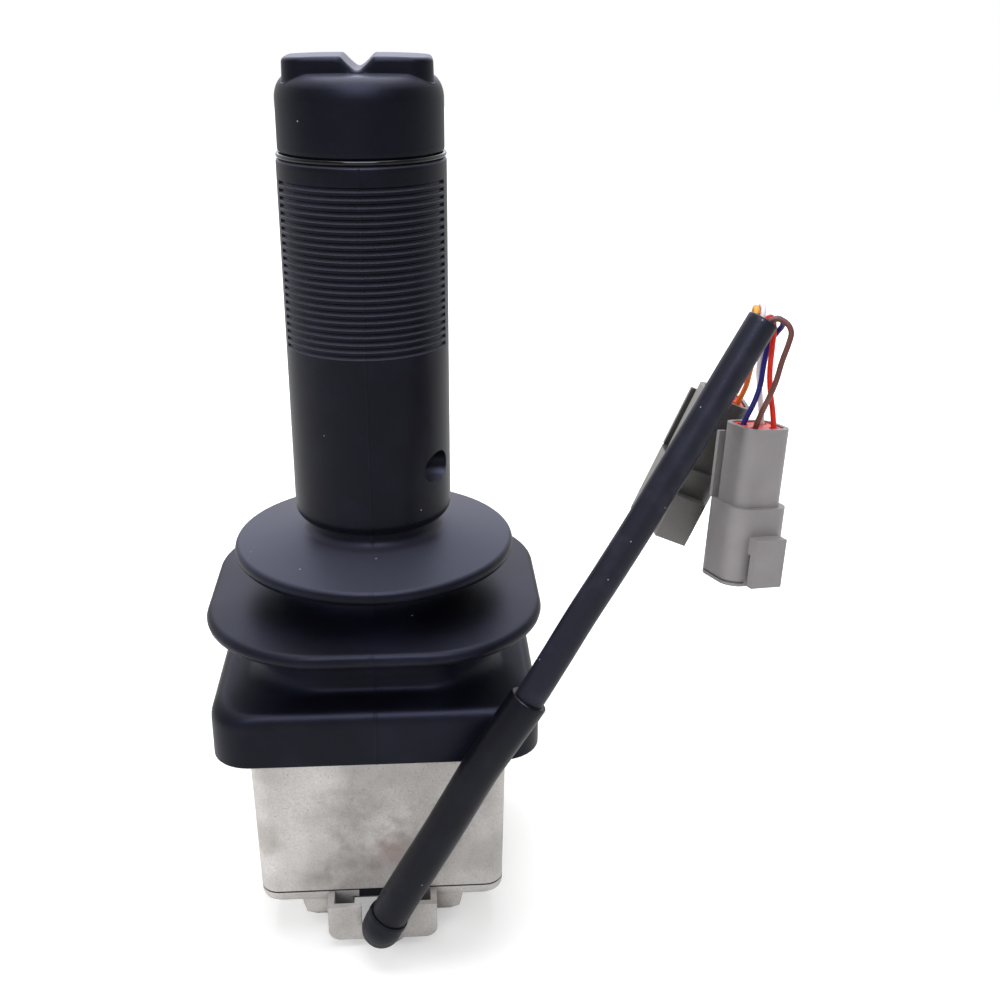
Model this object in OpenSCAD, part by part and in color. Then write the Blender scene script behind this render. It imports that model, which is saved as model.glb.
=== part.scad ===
// Panel-mounted single-axis industrial joystick with a thumb rocker on its head.
// Z = 0 is the panel: the flange and the boot's skirt stand on it, the cast housing hangs below.
// The stick hinges about X in the housing, and the thumb rocker hinges about Y in the head.

/* [Grip] */
// Outer radius of the hand grip
grip_r = 24.5; // [22:0.5:28]
// Height of the grip between the boot and the bead ring
grip_h = 109.6; // [96:0.2:130]
// Wall of the two grip shells
grip_wall = 2.6; // [2:0.1:3.4]
// Radius of the grip's lower edge
grip_edge = 4; // [2:0.5:5]
// Number of grooves in each ribbed panel
groove_n = 23; // [8:1:26]
// Pitch of the grooves
groove_pitch = 2.14; // [1.8:0.02:2.4]
// Width of one groove at the surface
groove_w = 1.2; // [0.8:0.1:1.6]
// Depth of the grooves
groove_depth = 0.8; // [0.4:0.1:1.2]
// Half of the angle that a ribbed panel covers
panel_angle = 72; // [50:1:80]
// Smooth band above the ribbed panels
panel_drop = 6; // [3:0.5:12]
// Radius of the counterbore for each grip screw
counterbore_r = 5; // [4.6:0.1:5.4]
// Height of the grip screws above the grip's lower edge
grip_screw_rise = 19; // [14:0.5:26]
// Distance of the grip screws from the middle of the grip
grip_screw_off = 13.3; // [12.6:0.1:14]
// Radius of the grip screws' heads
grip_screw_head_r = 4; // [3.4:0.1:4.4]
// Radius of the grip screws
grip_screw_r = 1.9; // [1.5:0.1:2.2]

/* [Head] */
// Outer radius of the rubber head cap
cap_r = 23.9; // [22:0.1:25]
// Height of the head cap's body
cap_h = 20.7; // [19:0.1:24]
// Wall of the head cap
cap_wall = 1.8; // [1.4:0.1:2.2]
// Height of the head cap's rounded shoulder
shoulder_h = 8; // [5:0.5:9]
// Width of the head cap's rounded shoulder
shoulder_w = 6; // [4:0.5:8]
// Height of the bead ring between the grip and the cap
bead_h = 1.4; // [1:0.1:2.4]
// Dark gap on each side of the bead ring
bead_gap = 0.4; // [0.3:0.1:0.8]

/* [Thumb rocker] */
// Length of the rocker across the head
rocker_l = 41.2; // [36:0.2:42]
// Width of the rocker's pads
rocker_w = 26; // [20:0.5:28]
// Rise of the two pads above the cap
rocker_rise = 5.2; // [3:0.1:7]
// Corner radius of the pads, seen from above
rocker_corner = 8; // [4:0.5:10]
// Half width of the notch between the pads, at its top
notch_half = 4.2; // [3:0.1:6]
// Height of the rocker's pin above the cap's lower edge
rocker_pin_rise = 13.2; // [12.8:0.1:13.8]
// Radius of the rocker's pin
rocker_pin_r = 1.5; // [1.2:0.1:1.8]
// Distance of the switch plungers from the rocker's pin
plunger_off = 12; // [10:0.5:13]
// Radius of the switch plungers
plunger_r = 2; // [1.5:0.1:2.6]
// Clearance round the rocker, which lets it tip
rocker_gap = 1; // [0.8:0.1:1.2]
// Height of the switch block under the rocker
switch_h = 3.4; // [3:0.1:3.6]
// How far the plungers stand out of the switch block
plunger_show = 2.2; // [2:0.1:2.4]

/* [Boot] */
// How far each side of the square skirt stands out past the housing
skirt_out = 9.8; // [9:0.1:12]
// Height of the skirt
skirt_h = 17.3; // [15:0.1:19]
// Corner radius of the skirt, seen from above
skirt_corner = 12; // [10:0.5:16]
// Radius of the skirt's upper edge
skirt_edge = 4; // [2:0.5:5]
// Wall of the boot
boot_wall = 2; // [1.5:0.1:2.5]
// Thickness of the two flanges' rims
rim_t = 3.7; // [3:0.1:4.4]
// Width of the lower, rounded-square flange
lower_flange_w = 104.8; // [96:0.5:110]
// Corner radius of the lower flange, seen from above
lower_flange_corner = 37; // [28:1:44]
// Height of the lower flange's rim
lower_flange_z = 36.4; // [33:0.2:38]
// Radius of the upper, round flange
upper_flange_r = 44.4; // [40:0.2:48]
// Height of the upper flange's rim
upper_flange_z = 52.5; // [50:0.1:54]
// Half width of the waist under the lower flange
lower_waist = 37; // [33:0.5:40]
// Radius of the waist under the upper flange
upper_waist = 29.5; // [26:0.5:32]
// Radius of the boot's neck
neck_r = 20; // [16:0.5:21]
// Height of the boot's neck above the panel
neck_top_z = 62.6; // [61:0.2:66]

/* [Housing] */
// Width of the cast housing at the panel
housing_w = 80.4; // [78:0.2:84]
// Depth of the housing below the panel
housing_h = 54.5; // [53:0.5:60]
// Wall of the housing
housing_wall = 3.5; // [2.5:0.1:4]
// Corner radius of the housing
housing_corner = 6; // [4:0.5:8]
// How much each side draws in from top to bottom
housing_draft = 0.8; // [0.4:0.1:1.2]
// Thickness of the mounting flange
flange_t = 4; // [3:0.5:6]
// Distance of each mounting hole outside the housing's sides
bolt_out = 1.3; // [1:0.1:2]
// Radius of the mounting holes
bolt_r = 2.25; // [2:0.05:2.6]
// Distance of the corner posts inside the housing's lower edge
post_inset = 7.8; // [7.4:0.1:8.2]
// Radius of the corner posts
post_r = 4.5; // [4:0.1:5]

/* [Bottom cover] */
// Thickness of the gasket under the housing
gasket_t = 0.6; // [0.4:0.1:1]
// Thickness of the bottom cover
cover_t = 4.4; // [4:0.1:6]
// Width of the box below the cover
well_w = 52; // [48:1:56]
// Length of the box below the cover, from the front edge
well_l = 60; // [50:1:70]
// Depth of the box below the cover
well_h = 7.5; // [6:0.5:10]
// Wall of the box and of the cable bay
bay_wall = 2; // [1.6:0.1:2.6]
// Width of the cable bay on the front
bay_w = 35; // [32:0.5:40]
// How far the cable bay stands out of the front
bay_out = 8.2; // [7.8:0.1:8.4]
// Depth of the cable bay from the top of the cover
bay_h = 12.9; // [12:0.1:14]
// Radius of the notch that the cable leaves by
cable_notch_r = 6.8; // [6.7:0.05:7]
// Depth of the notch's centre below the top of the cover
cable_notch_drop = 6.7; // [6.5:0.1:6.9]
// Half width of the open recess behind the cable bay
recess_half = 10; // [9.5:0.1:11]
// Length of the open recess behind the cable bay
recess_l = 11; // [10:0.5:14]
// Width of the rubber plug in the cover's front edge
window_w = 17.4; // [14:0.2:18]
// Height of the rubber plug in the cover's front edge
window_h = 2.4; // [2:0.1:2.6]

/* [Pivot] */
// Depth of the stick's axle below the panel
pivot_depth = 34; // [33:0.1:34.5]
// Radius of the axle
axle_r = 4; // [3:0.1:4.4]
// Wall of the axle's bushes
bush_wall = 2; // [1.5:0.1:2.4]
// Half of the space between the bracket's cheeks
cheek_in = 17; // [16.8:0.1:17.4]
// Thickness of the bracket's cheeks and plate
bracket_t = 3; // [2.5:0.1:3.2]
// Half width of the cheeks
cheek_half = 13; // [12:0.5:14]
// Outer radius of the stick's tube
shaft_r = 6; // [5:0.1:6.4]
// Bore radius of the stick's tube
shaft_bore = 4; // [3:0.1:4.2]
// Wire diameter of the centring spring
spring_wire = 1.6; // [1.2:0.1:1.8]
// Radius of the two pins that the spring holds in line
spring_pin_r = 1.6; // [1.3:0.1:1.8]
// Height of the angle sensor's plate
sensor_h = 23; // [20:0.5:24]
// Height of the hub's socket above the axle
hub_h = 17; // [15:0.5:18]

/* [Screws and pins] */
// Core radius of the screws in the housing's posts
tapping_r = 1.5; // [1.3:0.05:1.7]
// Depth of the bracket screws in the posts
bracket_screw_l = 7; // [5:0.5:8]
// Radius of the bracket screws' heads
bracket_head_r = 2.8; // [2.4:0.1:3]
// Height of the bracket screws' heads
bracket_head_h = 1.8; // [1.4:0.1:2]
// Radius of the cover screws' heads
cover_head_r = 3; // [2.6:0.1:3.1]
// Depth of the cover screws in the posts
cover_screw_l = 7; // [5:0.5:8]
// Core radius of the circuit board's screws
board_screw_r = 1.1; // [0.9:0.05:1.3]
// Depth of the board screws in the cover's posts
board_screw_l = 2.6; // [2:0.1:2.8]
// Radius of the board screws' heads
board_head_r = 2.2; // [1.8:0.1:2.6]
// Height of the board screws' heads
board_head_h = 1; // [0.8:0.1:1.4]
// Radius of the cross pin through the tube
shaft_pin_r = 2; // [1.6:0.1:2.4]
// Depth of the grip screws in the left shell
grip_screw_l = 8; // [6:0.5:8.5]
// Height of the grip screws' heads
grip_head_h = 3; // [2:0.1:4]

/* [Cable and connectors] */
// Diameter of the cable's jacket
jacket_d = 9; // [8:0.1:10]
// Diameter of the sleeve over the cable
sleeve_d = 11.8; // [11:0.1:12.4]
// Diameter of one wire
wire_d = 1.6; // [1.4:0.1:2]
// Width of a connector's front shell
plug_w = 18.6; // [18:0.1:19.6]
// Depth of a connector's front shell
plug_d = 17.4; // [16.8:0.1:18]
// Length of a connector's front shell
plug_shell_l = 23; // [21:0.5:25]
// Width of a connector's rear body
plug_rear_w = 15.4; // [15:0.1:16]
// Depth of a connector's rear body
plug_rear_d = 14; // [13.6:0.1:14.6]
// Length of a connector's rear body
plug_rear_l = 23; // [21:0.5:25]
// Wall of a connector
plug_wall = 1.5; // [1.2:0.1:1.8]
// Width of a connector's latch
latch_w = 10.1; // [9:0.1:11]
// Length of a connector's latch
latch_h = 14.4; // [12:0.2:15]
// How far the latch stands out of the shell
latch_out = 4; // [3.4:0.1:4.6]

/* [Hidden] */
$fn = 64;
hull_fn = 32;
eps = 0.01;
running = 0.05;
clear = 0.3;

// Levels of the stick and its head
pivot_z = -pivot_depth;
grip_z = neck_top_z + 0.4;
grip_top = grip_z + grip_h;
bead_z = grip_top + bead_gap;
cap_z = bead_z + bead_h + bead_gap;
cap_top = cap_z + cap_h;
pad_top = cap_top + rocker_rise;
rocker_pin_z = cap_z + rocker_pin_rise;
grip_in = grip_r - grip_wall;
cap_in = cap_r - cap_wall;
groove_top = grip_top - panel_drop;
switch_z = cap_z + 1.6;
plunger_tip = switch_z + switch_h + plunger_show;
grip_screw_z = grip_z + grip_screw_rise;
screw_seat_x = 11;
shaft_top = grip_screw_z + 16;
saddle_r = shaft_r + 4;

// Levels of the housing and its cover
skirt_w = housing_w + 2 * skirt_out;
bolt_spacing = housing_w + 2 * bolt_out;
flange_half = skirt_w / 2 - boot_wall - 0.7;
flange_corner = skirt_corner - boot_wall - 0.7;
cover_z = -housing_h - gasket_t;
cover_low = cover_z - cover_t;
foot_half = housing_w / 2 - housing_draft;
inner_half = foot_half - housing_wall;
post_off = foot_half - post_inset;
post_top = -bracket_t;
post_low = -housing_h;
notch_z = cover_z - cable_notch_drop;
bay_front = -foot_half - bay_out;
well_low = cover_low - well_h;
board_half = post_off - post_r - 0.6;
board_t = 1.6;
board_z = cover_z + 2;
board_post = board_half - 5;

// Sizes of the pivot
bush_r = axle_r + running + bush_wall;
hub_half = cheek_in - 1 - 0.4;
cheek_out = cheek_in + bracket_t;
clip_x = cheek_out + 0.9;
holder_x = clip_x + 1.2;
axle_end = holder_x + 2.5;
magnet_t = 2;
holder_r = axle_r + 2.5;
sensor_x = axle_end + magnet_t + 0.8;
boss_r = axle_r + 2;
coil_r = boss_r + 0.6 + spring_wire / 2;
moving_pin_off = coil_r + spring_wire / 2 + 0.7 + spring_pin_r;
fixed_pin_off = moving_pin_off + 2 * spring_pin_r + 0.4;
leg_y = spring_pin_r + spring_wire / 2 + 0.1;
hub_y = shaft_r + 5;
hub_top = pivot_z + hub_h;
socket_z = pivot_z + axle_r + 2;
shaft_pin_z = socket_z + 5.5;

// The cable's route from the grommet's end to its own end
cable_path = [[2.5, -55.8, -51.5], [6.5, -56.5, -43.5], [12.2, -56.8, -33], [18.6, -56.8, -21.5],
  [24.8, -56.6, -10], [31, -56.4, 1.5], [38, -56.4, 13], [45.4, -55.8, 24.6], [52.8, -54.4, 37],
  [60.2, -52.8, 49.6], [68.6, -50.8, 63], [77, -48.6, 76.6], [85.2, -46.4, 90.5],
  [93.6, -44, 104.6], [102.2, -41, 119], [110.8, -38, 133]];
sleeve_points = 8;
collar_path = [[0.8, -46.8, -61.8], [0, -49.4, -61.6], [-0.2, -51.8, -60.2], [0, -53.6, -58],
  [0.8, -55.5, -54.9], [2.5, -55.8, -51.5]];
tail_path = [[5.2, -28.4, -62], [5.2, -34, -62], [5, -39, -62], [4, -43, -62], [2.4, -45.6, -62],
  [0.8, -47.2, -61.8]];

// The wires' routes from the cable's end to the connectors' seals
wire_paths = [
  [[111.5, -38.7, 130], [113, -38.1, 132], [114.3, -36.7, 132.7], [115.6, -35.3, 132.6],
   [117.3, -33.9, 131.6], [118, -32.1, 129.6], [117.3, -30.4, 127.5], [115.6, -30, 124.7],
   [114.7, -29.9, 121.2], [114, -30.5, 117], [113.2, -31.8, 112.2], [111.5, -33.2, 107.6],
   [109.5, -34.2, 103.8], [108, -34.9, 100.6]],
  [[110.1, -40.5, 130.8], [111.8, -40, 132.9], [113.8, -40.1, 133.6], [115.6, -40.5, 133.2],
   [117.1, -41.4, 131.9], [117.7, -42.1, 129.9], [117, -42.5, 126.8], [115.7, -42.4, 122],
   [114.5, -42.2, 116], [112.7, -41.8, 110.4], [111, -41.1, 105.2], [110, -40.6, 101]],
  [[110.2, -37, 130], [111.7, -36.3, 132.2], [113.1, -35, 132.8], [114.2, -33.8, 132.5],
   [115, -32.7, 131.6], [115.6, -31.8, 129.9], [115.8, -31.8, 127.2], [115.4, -32.8, 122.6],
   [115.1, -33.6, 117], [115.3, -35, 111.4], [116, -36.9, 105.8], [116.4, -38.3, 100.4]],
  [[109, -38.7, 130.8], [110.2, -38.1, 133.1], [110.9, -36.8, 134.8], [111.3, -34.6, 135.9],
   [111.4, -32.3, 135.7], [111.9, -30.1, 134.5], [112.6, -28.5, 132.3], [113.2, -27.7, 129.3],
   [114.3, -27.8, 125], [113.8, -28.1, 120], [113.3, -28.6, 115.6], [113.6, -29.8, 110.8],
   [114, -31.4, 105.4], [114.4, -32.7, 99.9]],
  [[108.4, -36.7, 131], [110, -35.7, 133.4], [111.2, -34.1, 133.9], [111.9, -32.7, 133.6],
   [112.1, -31.2, 132.6], [112, -30, 130.8], [112, -29.6, 128.3], [111.5, -28.5, 124.3],
   [112, -26.6, 119.3], [112, -23.9, 113.7], [112, -21.2, 108.8], [111.2, -19.4, 104.9],
   [109.9, -18.9, 101.6]],
  [[107.2, -38.4, 131.7], [108.8, -37.4, 134.7], [109.3, -35.2, 135.6], [109.5, -33.1, 135.2],
   [109.7, -31.6, 133.8], [109.8, -30.4, 132.1], [109.8, -29.4, 130], [109.4, -28.3, 126.6],
   [109.4, -26.2, 121.7], [110.6, -23, 116.1], [111.4, -19, 110.6], [111.2, -15, 105.6],
   [109.9, -12.9, 101.8]]];

// Where the connectors hang: the middle of the rear face, the lean about X and Y and the turn
plug_a_pos = [112.2, -36.5, 101.7];
plug_a_lean = [-6.5, 4.5];
plug_a_turn = 19;
plug_b_pos = [107.2, -16, 104.2];
plug_b_lean = [2.5, 22.5];
plug_b_turn = -1;

// Sizes of the connectors
seal_depth = 9;
seal_sink = 0.4;
wire_seat = [3.4, 3];
wire_end = -1.4;
shell_low = -plug_rear_l - plug_shell_l;
latch_top = shell_low + latch_h + 0.6;
latch_x = -4;

rubber = "#23242c";
grip_black = "#24262e";
cast_grey = "#b9b5ae";
steel = "#9a9ca0";
zinc = "#b4b6b8";
bronze = "#a9803f";
black_plastic = "#1d1e22";
board_green = "#1f5a3a";
plug_grey = "#77787a";
seal_red = "#df4a2c";
cord_black = "#1e1f27";

// Plan outline of a square with round corners
module round_square(half, corner, fn = $fn) {
  offset_half = half - corner;
  square([2 * half, 2 * offset_half], center = true);
  square([2 * offset_half, 2 * half], center = true);
  for (x = [-1, 1], y = [-1, 1]) translate([x * offset_half, y * offset_half])
    circle(r = corner, $fn = fn);
}

module round_slab(half, corner, z, t, fn = $fn) {
  translate([0, 0, z]) linear_extrude(t) round_square(half, corner, fn);
}

// A cylinder along X or Y between two places
module rod_x(r, x0, x1) {
  translate([x0, 0, 0]) rotate([0, 90, 0]) cylinder(r = r, h = x1 - x0);
}

module rod_y(r, y0, y1) {
  translate([0, y1, 0]) rotate([90, 0, 0]) cylinder(r = r, h = y1 - y0);
}

module at_corners(off) {
  for (x = [-1, 1], y = [-1, 1]) translate([x * off, y * off, 0]) children();
}

// Tube of radius r swept along a list of points, each ring square to the path
function unit(v) = v / norm(v);
function tangent(p, i) = unit(p[min(i + 1, len(p) - 1)] - p[max(i - 1, 0)]);
function tube_ring(p, i, r, sides, side_axis) =
  let(t = tangent(p, i), n = unit(cross(side_axis, t)), b = cross(t, n))
  [for (k = [0:sides - 1]) p[i] + r * (cos(360 * k / sides) * n + sin(360 * k / sides) * b)];
module tube(p, r, sides = 10, side_axis = [0, 1, 0]) {
  rings = len(p);
  points = [for (i = [0:rings - 1]) each tube_ring(p, i, r, sides, side_axis)];
  walls = [for (i = [0:rings - 2], k = [0:sides - 1]) let(n = (k + 1) % sides)
    [i * sides + k, (i + 1) * sides + k, (i + 1) * sides + n, i * sides + n]];
  start_cap = [for (k = [0:sides - 1]) k];
  end_cap = [for (k = [sides - 1:-1:0]) (rings - 1) * sides + k];
  polyhedron(points, concat(walls, [start_cap], [end_cap]), convexity = 6);
}

// Closed shell between an outer and an inner profile, lofted round a square with round corners.
// Each profile row is half width, corner radius and height.
corner_steps = 12;
quarter_x = [1, -1, -1, 1];
quarter_y = [1, 1, -1, -1];
function loft_ring(row) = [for (q = [0:3], k = [0:corner_steps - 1])
  let(a = 90 * q + 90 * (k + 0.5) / corner_steps, c = min(row[1], row[0]), m = row[0] - c)
  [quarter_x[q] * m + c * cos(a), quarter_y[q] * m + c * sin(a), row[2]]];
module loft_shell(rows) {
  n = 4 * corner_steps;
  points = [for (row = rows) each loft_ring(row)];
  faces = [for (j = [0:len(rows) - 1], k = [0:n - 1])
    let(up = (j + 1) % len(rows), next = (k + 1) % n)
    [j * n + k, up * n + k, up * n + next, j * n + next]];
  polyhedron(points, faces, convexity = 10);
}

// Rubber boot: square skirt, rounded-square flange, round flange and a neck round the tube
function edge_arc(half, corner, z, r, a0, a1, steps) = [for (k = [0:steps])
  let(a = a0 + (a1 - a0) * k / steps, d = r * (1 - cos(a))) [half - d, corner - d, z + r * sin(a)]];
module boot() {
  half = skirt_w / 2;
  fold = rim_t / 2;
  lower_half = lower_flange_w / 2;
  waist_corner = lower_waist * 0.6;
  mid_z = (lower_flange_z + upper_flange_z) / 2;
  deck_z = (skirt_h + lower_flange_z) / 2;
  bead_z0 = flange_t + 0.3;
  hole_r = shaft_r + 0.5;
  outer = concat(
    [[half, skirt_corner, 0]],
    edge_arc(half, skirt_corner, skirt_h - skirt_edge, skirt_edge, 0, 90, 4),
    [[lower_waist + 3, waist_corner + 2, skirt_h + 0.8],
     [lower_waist + 0.7, waist_corner + 0.7, skirt_h + 2.2],
     [lower_waist, waist_corner, skirt_h + 4.6],
     [lower_waist, waist_corner, deck_z],
     [lower_waist + 0.8, waist_corner + 2, deck_z + 1.8],
     [lower_waist + 5, waist_corner + 8, lower_flange_z - 5],
     [lower_half - 5, lower_flange_corner - 4.6, lower_flange_z - fold - 1.1]],
    edge_arc(lower_half, lower_flange_corner, lower_flange_z, fold, -75, 75, 6),
    [[(lower_half + upper_waist) / 2, upper_waist + 2, lower_flange_z + fold + 1],
     [upper_waist + 3, upper_waist + 0.5, lower_flange_z + fold + 2],
     [upper_waist + 0.8, upper_waist, mid_z - 0.8],
     [upper_waist, upper_waist, mid_z],
     [upper_waist, upper_waist, mid_z + 1.6],
     [upper_waist + 1.4, upper_waist + 1.4, upper_flange_z - fold - 2.6],
     [upper_waist + 7, upper_waist + 7, upper_flange_z - fold - 1.5]],
    edge_arc(upper_flange_r, upper_flange_r, upper_flange_z, fold, -75, 75, 6),
    [[(upper_flange_r + neck_r) / 2 + 4, 60, upper_flange_z + fold + 2],
     [neck_r + 5, 60, upper_flange_z + fold + 4.2],
     [neck_r + 1.6, 60, upper_flange_z + fold + 5.2],
     [neck_r + 0.4, 60, upper_flange_z + fold + 6.4],
     [neck_r, 60, neck_top_z - 0.8],
     [neck_r - 0.8, 60, neck_top_z]]);
  inner = [[hole_r, 60, neck_top_z],
     [hole_r, 60, neck_top_z - boot_wall],
     [neck_r - boot_wall - 0.4, 60, neck_top_z - boot_wall],
     [neck_r + 2.2, 60, upper_flange_z + fold + 2.8],
     [upper_flange_r - 5, 60, upper_flange_z + 0.6],
     [upper_flange_r - fold - 1.6, 60, upper_flange_z],
     [upper_flange_r - 5, 60, upper_flange_z - 0.5],
     [upper_waist + 3, 60, upper_flange_z - fold - 0.5],
     [upper_waist - boot_wall, 60, mid_z + 2.2],
     [upper_waist - boot_wall, 60, mid_z - 1],
     [upper_waist + 2, 60, lower_flange_z + fold - 0.3],
     [lower_half - 7, lower_flange_corner - 6, lower_flange_z + 0.5],
     [lower_half - fold - 1.8, lower_flange_corner - 3, lower_flange_z],
     [lower_half - 7, lower_flange_corner - 6, lower_flange_z - 0.7],
     [lower_waist + 3.4, waist_corner + 6, lower_flange_z - 3.2],
     [lower_waist - boot_wall, waist_corner, deck_z + 2.2],
     [lower_waist - boot_wall, waist_corner, skirt_h + 3.4],
     [lower_waist + 0.4, waist_corner - 1, skirt_h - boot_wall + 0.9],
     [half - skirt_edge, skirt_corner - skirt_edge, skirt_h - boot_wall],
     [half - boot_wall, skirt_corner - boot_wall, skirt_h - skirt_edge],
     [half - boot_wall, skirt_corner - boot_wall, bead_z0 + 1.6],
     [half - boot_wall - 1.2, skirt_corner - boot_wall - 1, bead_z0 + 1],
     [half - boot_wall - 1.2, skirt_corner - boot_wall - 1, bead_z0],
     [half - boot_wall, skirt_corner - boot_wall, bead_z0 - 0.1],
     [half - boot_wall, skirt_corner - boot_wall, 0]];
  color(rubber) loft_shell(concat(outer, inner));
}

// Cast housing: drafted box with a mounting flange and four corner posts
module housing() {
  color(cast_grey) difference() {
    union() {
      round_slab(flange_half, flange_corner, 0, flange_t);
      hull() {
        round_slab(housing_w / 2, housing_corner, 0, flange_t / 2, hull_fn);
        round_slab(foot_half, housing_corner, -housing_h, eps, hull_fn);
      }
    }
    difference() {
      hull() {
        round_slab(housing_w / 2 - housing_wall, housing_corner - 3, flange_t + 1, eps, hull_fn);
        round_slab(inner_half, housing_corner - 3, -housing_h - 1, eps, hull_fn);
      }
      at_corners(post_off) translate([0, 0, post_low]) cylinder(r = post_r, h = post_top - post_low);
    }
    at_corners(bolt_spacing / 2) translate([0, 0, -1]) cylinder(r = bolt_r, h = flange_t + 2);
    at_corners(post_off) translate([0, 0, post_top - 9]) cylinder(r = tapping_r, h = 10);
    at_corners(post_off) translate([0, 0, post_low - 1]) cylinder(r = tapping_r, h = 10);
  }
}

// Steel bracket that drops into the housing and carries the axle between two cheeks
module cheek(x) {
  translate([x, 0, 0]) rotate([90, 0, 90]) linear_extrude(bracket_t) {
    translate([-cheek_half, pivot_z]) square([2 * cheek_half, pivot_depth - bracket_t + eps]);
    translate([0, pivot_z]) circle(r = cheek_half);
  }
}

module pivot_bracket() {
  slot_x = shaft_r + 2.5;
  slot_y = shaft_r + 2 + pivot_depth * tan(20);
  color(steel) difference() {
    union() {
      round_slab(inner_half - 0.5, 3, -bracket_t, bracket_t);
      cheek(cheek_in);
      cheek(-cheek_out);
      translate([0, 0, pivot_z - fixed_pin_off]) rod_x(spring_pin_r, -cheek_in - 1, -hub_half / 2);
    }
    translate([-slot_x, -slot_y, -bracket_t - 1]) cube([2 * slot_x, 2 * slot_y, bracket_t + 2]);
    translate([0, 0, pivot_z]) rod_x(bush_r, -cheek_out - 1, cheek_out + 1);
    at_corners(post_off) translate([0, 0, -bracket_t - 1]) cylinder(r = tapping_r + 0.6, h = bracket_t + 2);
  }
}

module bracket_screws() {
  color(zinc) at_corners(post_off) {
    translate([0, 0, post_top - bracket_screw_l]) cylinder(r = tapping_r, h = bracket_screw_l + bracket_t);
    difference() {
      cylinder(r = bracket_head_r, h = bracket_head_h);
      translate([0, 0, bracket_head_h / 2]) cylinder(r = bracket_head_r / 2, h = bracket_head_h, $fn = 6);
    }
  }
}

// Flanged bronze bushes in the cheeks
module pivot_bushes() {
  color(bronze) for (s = [-1, 1]) translate([0, 0, pivot_z]) difference() {
    union() {
      rod_x(bush_r, min(s * cheek_in, s * (cheek_out + 0.5)), max(s * cheek_in, s * (cheek_out + 0.5)));
      rod_x(bush_r + 2, min(s * cheek_in, s * (cheek_in - 1)), max(s * cheek_in, s * (cheek_in - 1)));
    }
    rod_x(axle_r + running, -cheek_out - 2, cheek_out + 2);
  }
}

// Centring spring: its two legs hold the fixed pin and the moving pin in line
module centring_spring() {
  turns = 3;
  coil_x0 = -hub_half + 1 + spring_wire / 2;
  coil_pitch = spring_wire + 0.25;
  start_a = -60;
  sweep_a = 360 * turns - 2 * (90 + start_a);
  tip = fixed_pin_off + spring_pin_r;
  coil = [for (k = [0:4 * turns * 4]) let(f = k / (16 * turns), a = start_a + sweep_a * f)
    [coil_x0 + coil_pitch * turns * f, coil_r * cos(a), coil_r * sin(a)]];
  last = coil[len(coil) - 1];
  first_leg = [[coil_x0, leg_y, -tip], [coil_x0, leg_y, -coil_r - 2.6]];
  last_leg = [[last[0], -leg_y, -coil_r - 2.6], [last[0], -leg_y, -tip]];
  color(steel) translate([0, 0, pivot_z])
    tube(concat(first_leg, coil, last_leg), spring_wire / 2, 8, [1, 0, 0]);
}

// Sensor on two posts beside the cheek, facing the magnet on the axle's end
module sensor_module() {
  post_y = cheek_half - 3.5;
  lift = 0.5;
  color(black_plastic) difference() {
    union() {
      for (y = [-1, 1]) translate([0, y * post_y, pivot_z + sensor_h / 2 - 3.5])
        rod_x(2.2, cheek_out, sensor_x + 1);
      translate([sensor_x, -cheek_half, pivot_z + lift - sensor_h / 2])
        cube([3, 2 * cheek_half, sensor_h]);
    }
    translate([0, 0, pivot_z]) rod_x(axle_r, sensor_x + 1.6, sensor_x + 4);
  }
}

// Circuit board on the cover's posts, with its chips and its cable header underneath
module circuit_board() {
  color(board_green) difference() {
    union() {
      round_slab(board_half, 3, board_z, board_t);
      translate([-9, -board_half + 2.5, board_z - 1.4]) cube([18, 7, 1.4 + eps]);
      translate([-5, -5, board_z - 1.2]) cube([10, 10, 1.2 + eps]);
      translate([9, 4, board_z - 1]) cube([6, 5, 1 + eps]);
    }
    at_corners(board_post) translate([0, 0, board_z - 1]) cylinder(r = board_screw_r + 0.5, h = board_t + 2);
  }
}

module board_screws() {
  color(zinc) at_corners(board_post) {
    translate([0, 0, board_z - board_screw_l]) cylinder(r = board_screw_r, h = board_t + board_screw_l);
    translate([0, 0, board_z + board_t]) cylinder(r = board_head_r, h = board_head_h);
  }
}

module cover_gasket() {
  color(rubber) difference() {
    round_slab(foot_half - 0.2, housing_corner, cover_z, gasket_t);
    difference() {
      round_slab(inner_half, housing_corner - 3, cover_z - 1, gasket_t + 2);
      at_corners(post_off) translate([0, 0, cover_z - 2]) cylinder(r = post_r, h = gasket_t + 4);
    }
    at_corners(post_off) translate([0, 0, cover_z - 1]) cylinder(r = tapping_r + 0.3, h = gasket_t + 2);
  }
}

// Outline of the cable bay, seen from the front: open at the top, round at the bottom corners
module bay_outline(half, low) {
  corner = 4;
  translate([-half, low + corner]) square([2 * half, cover_z - low - corner]);
  translate([-half + corner, low]) square([2 * (half - corner), corner + eps]);
  for (x = [-1, 1]) translate([x * (half - corner), low + corner]) circle(r = corner);
}

module along_y(y0, y1) {
  translate([0, y1, 0]) rotate([90, 0, 0]) linear_extrude(y1 - y0) children();
}

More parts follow.
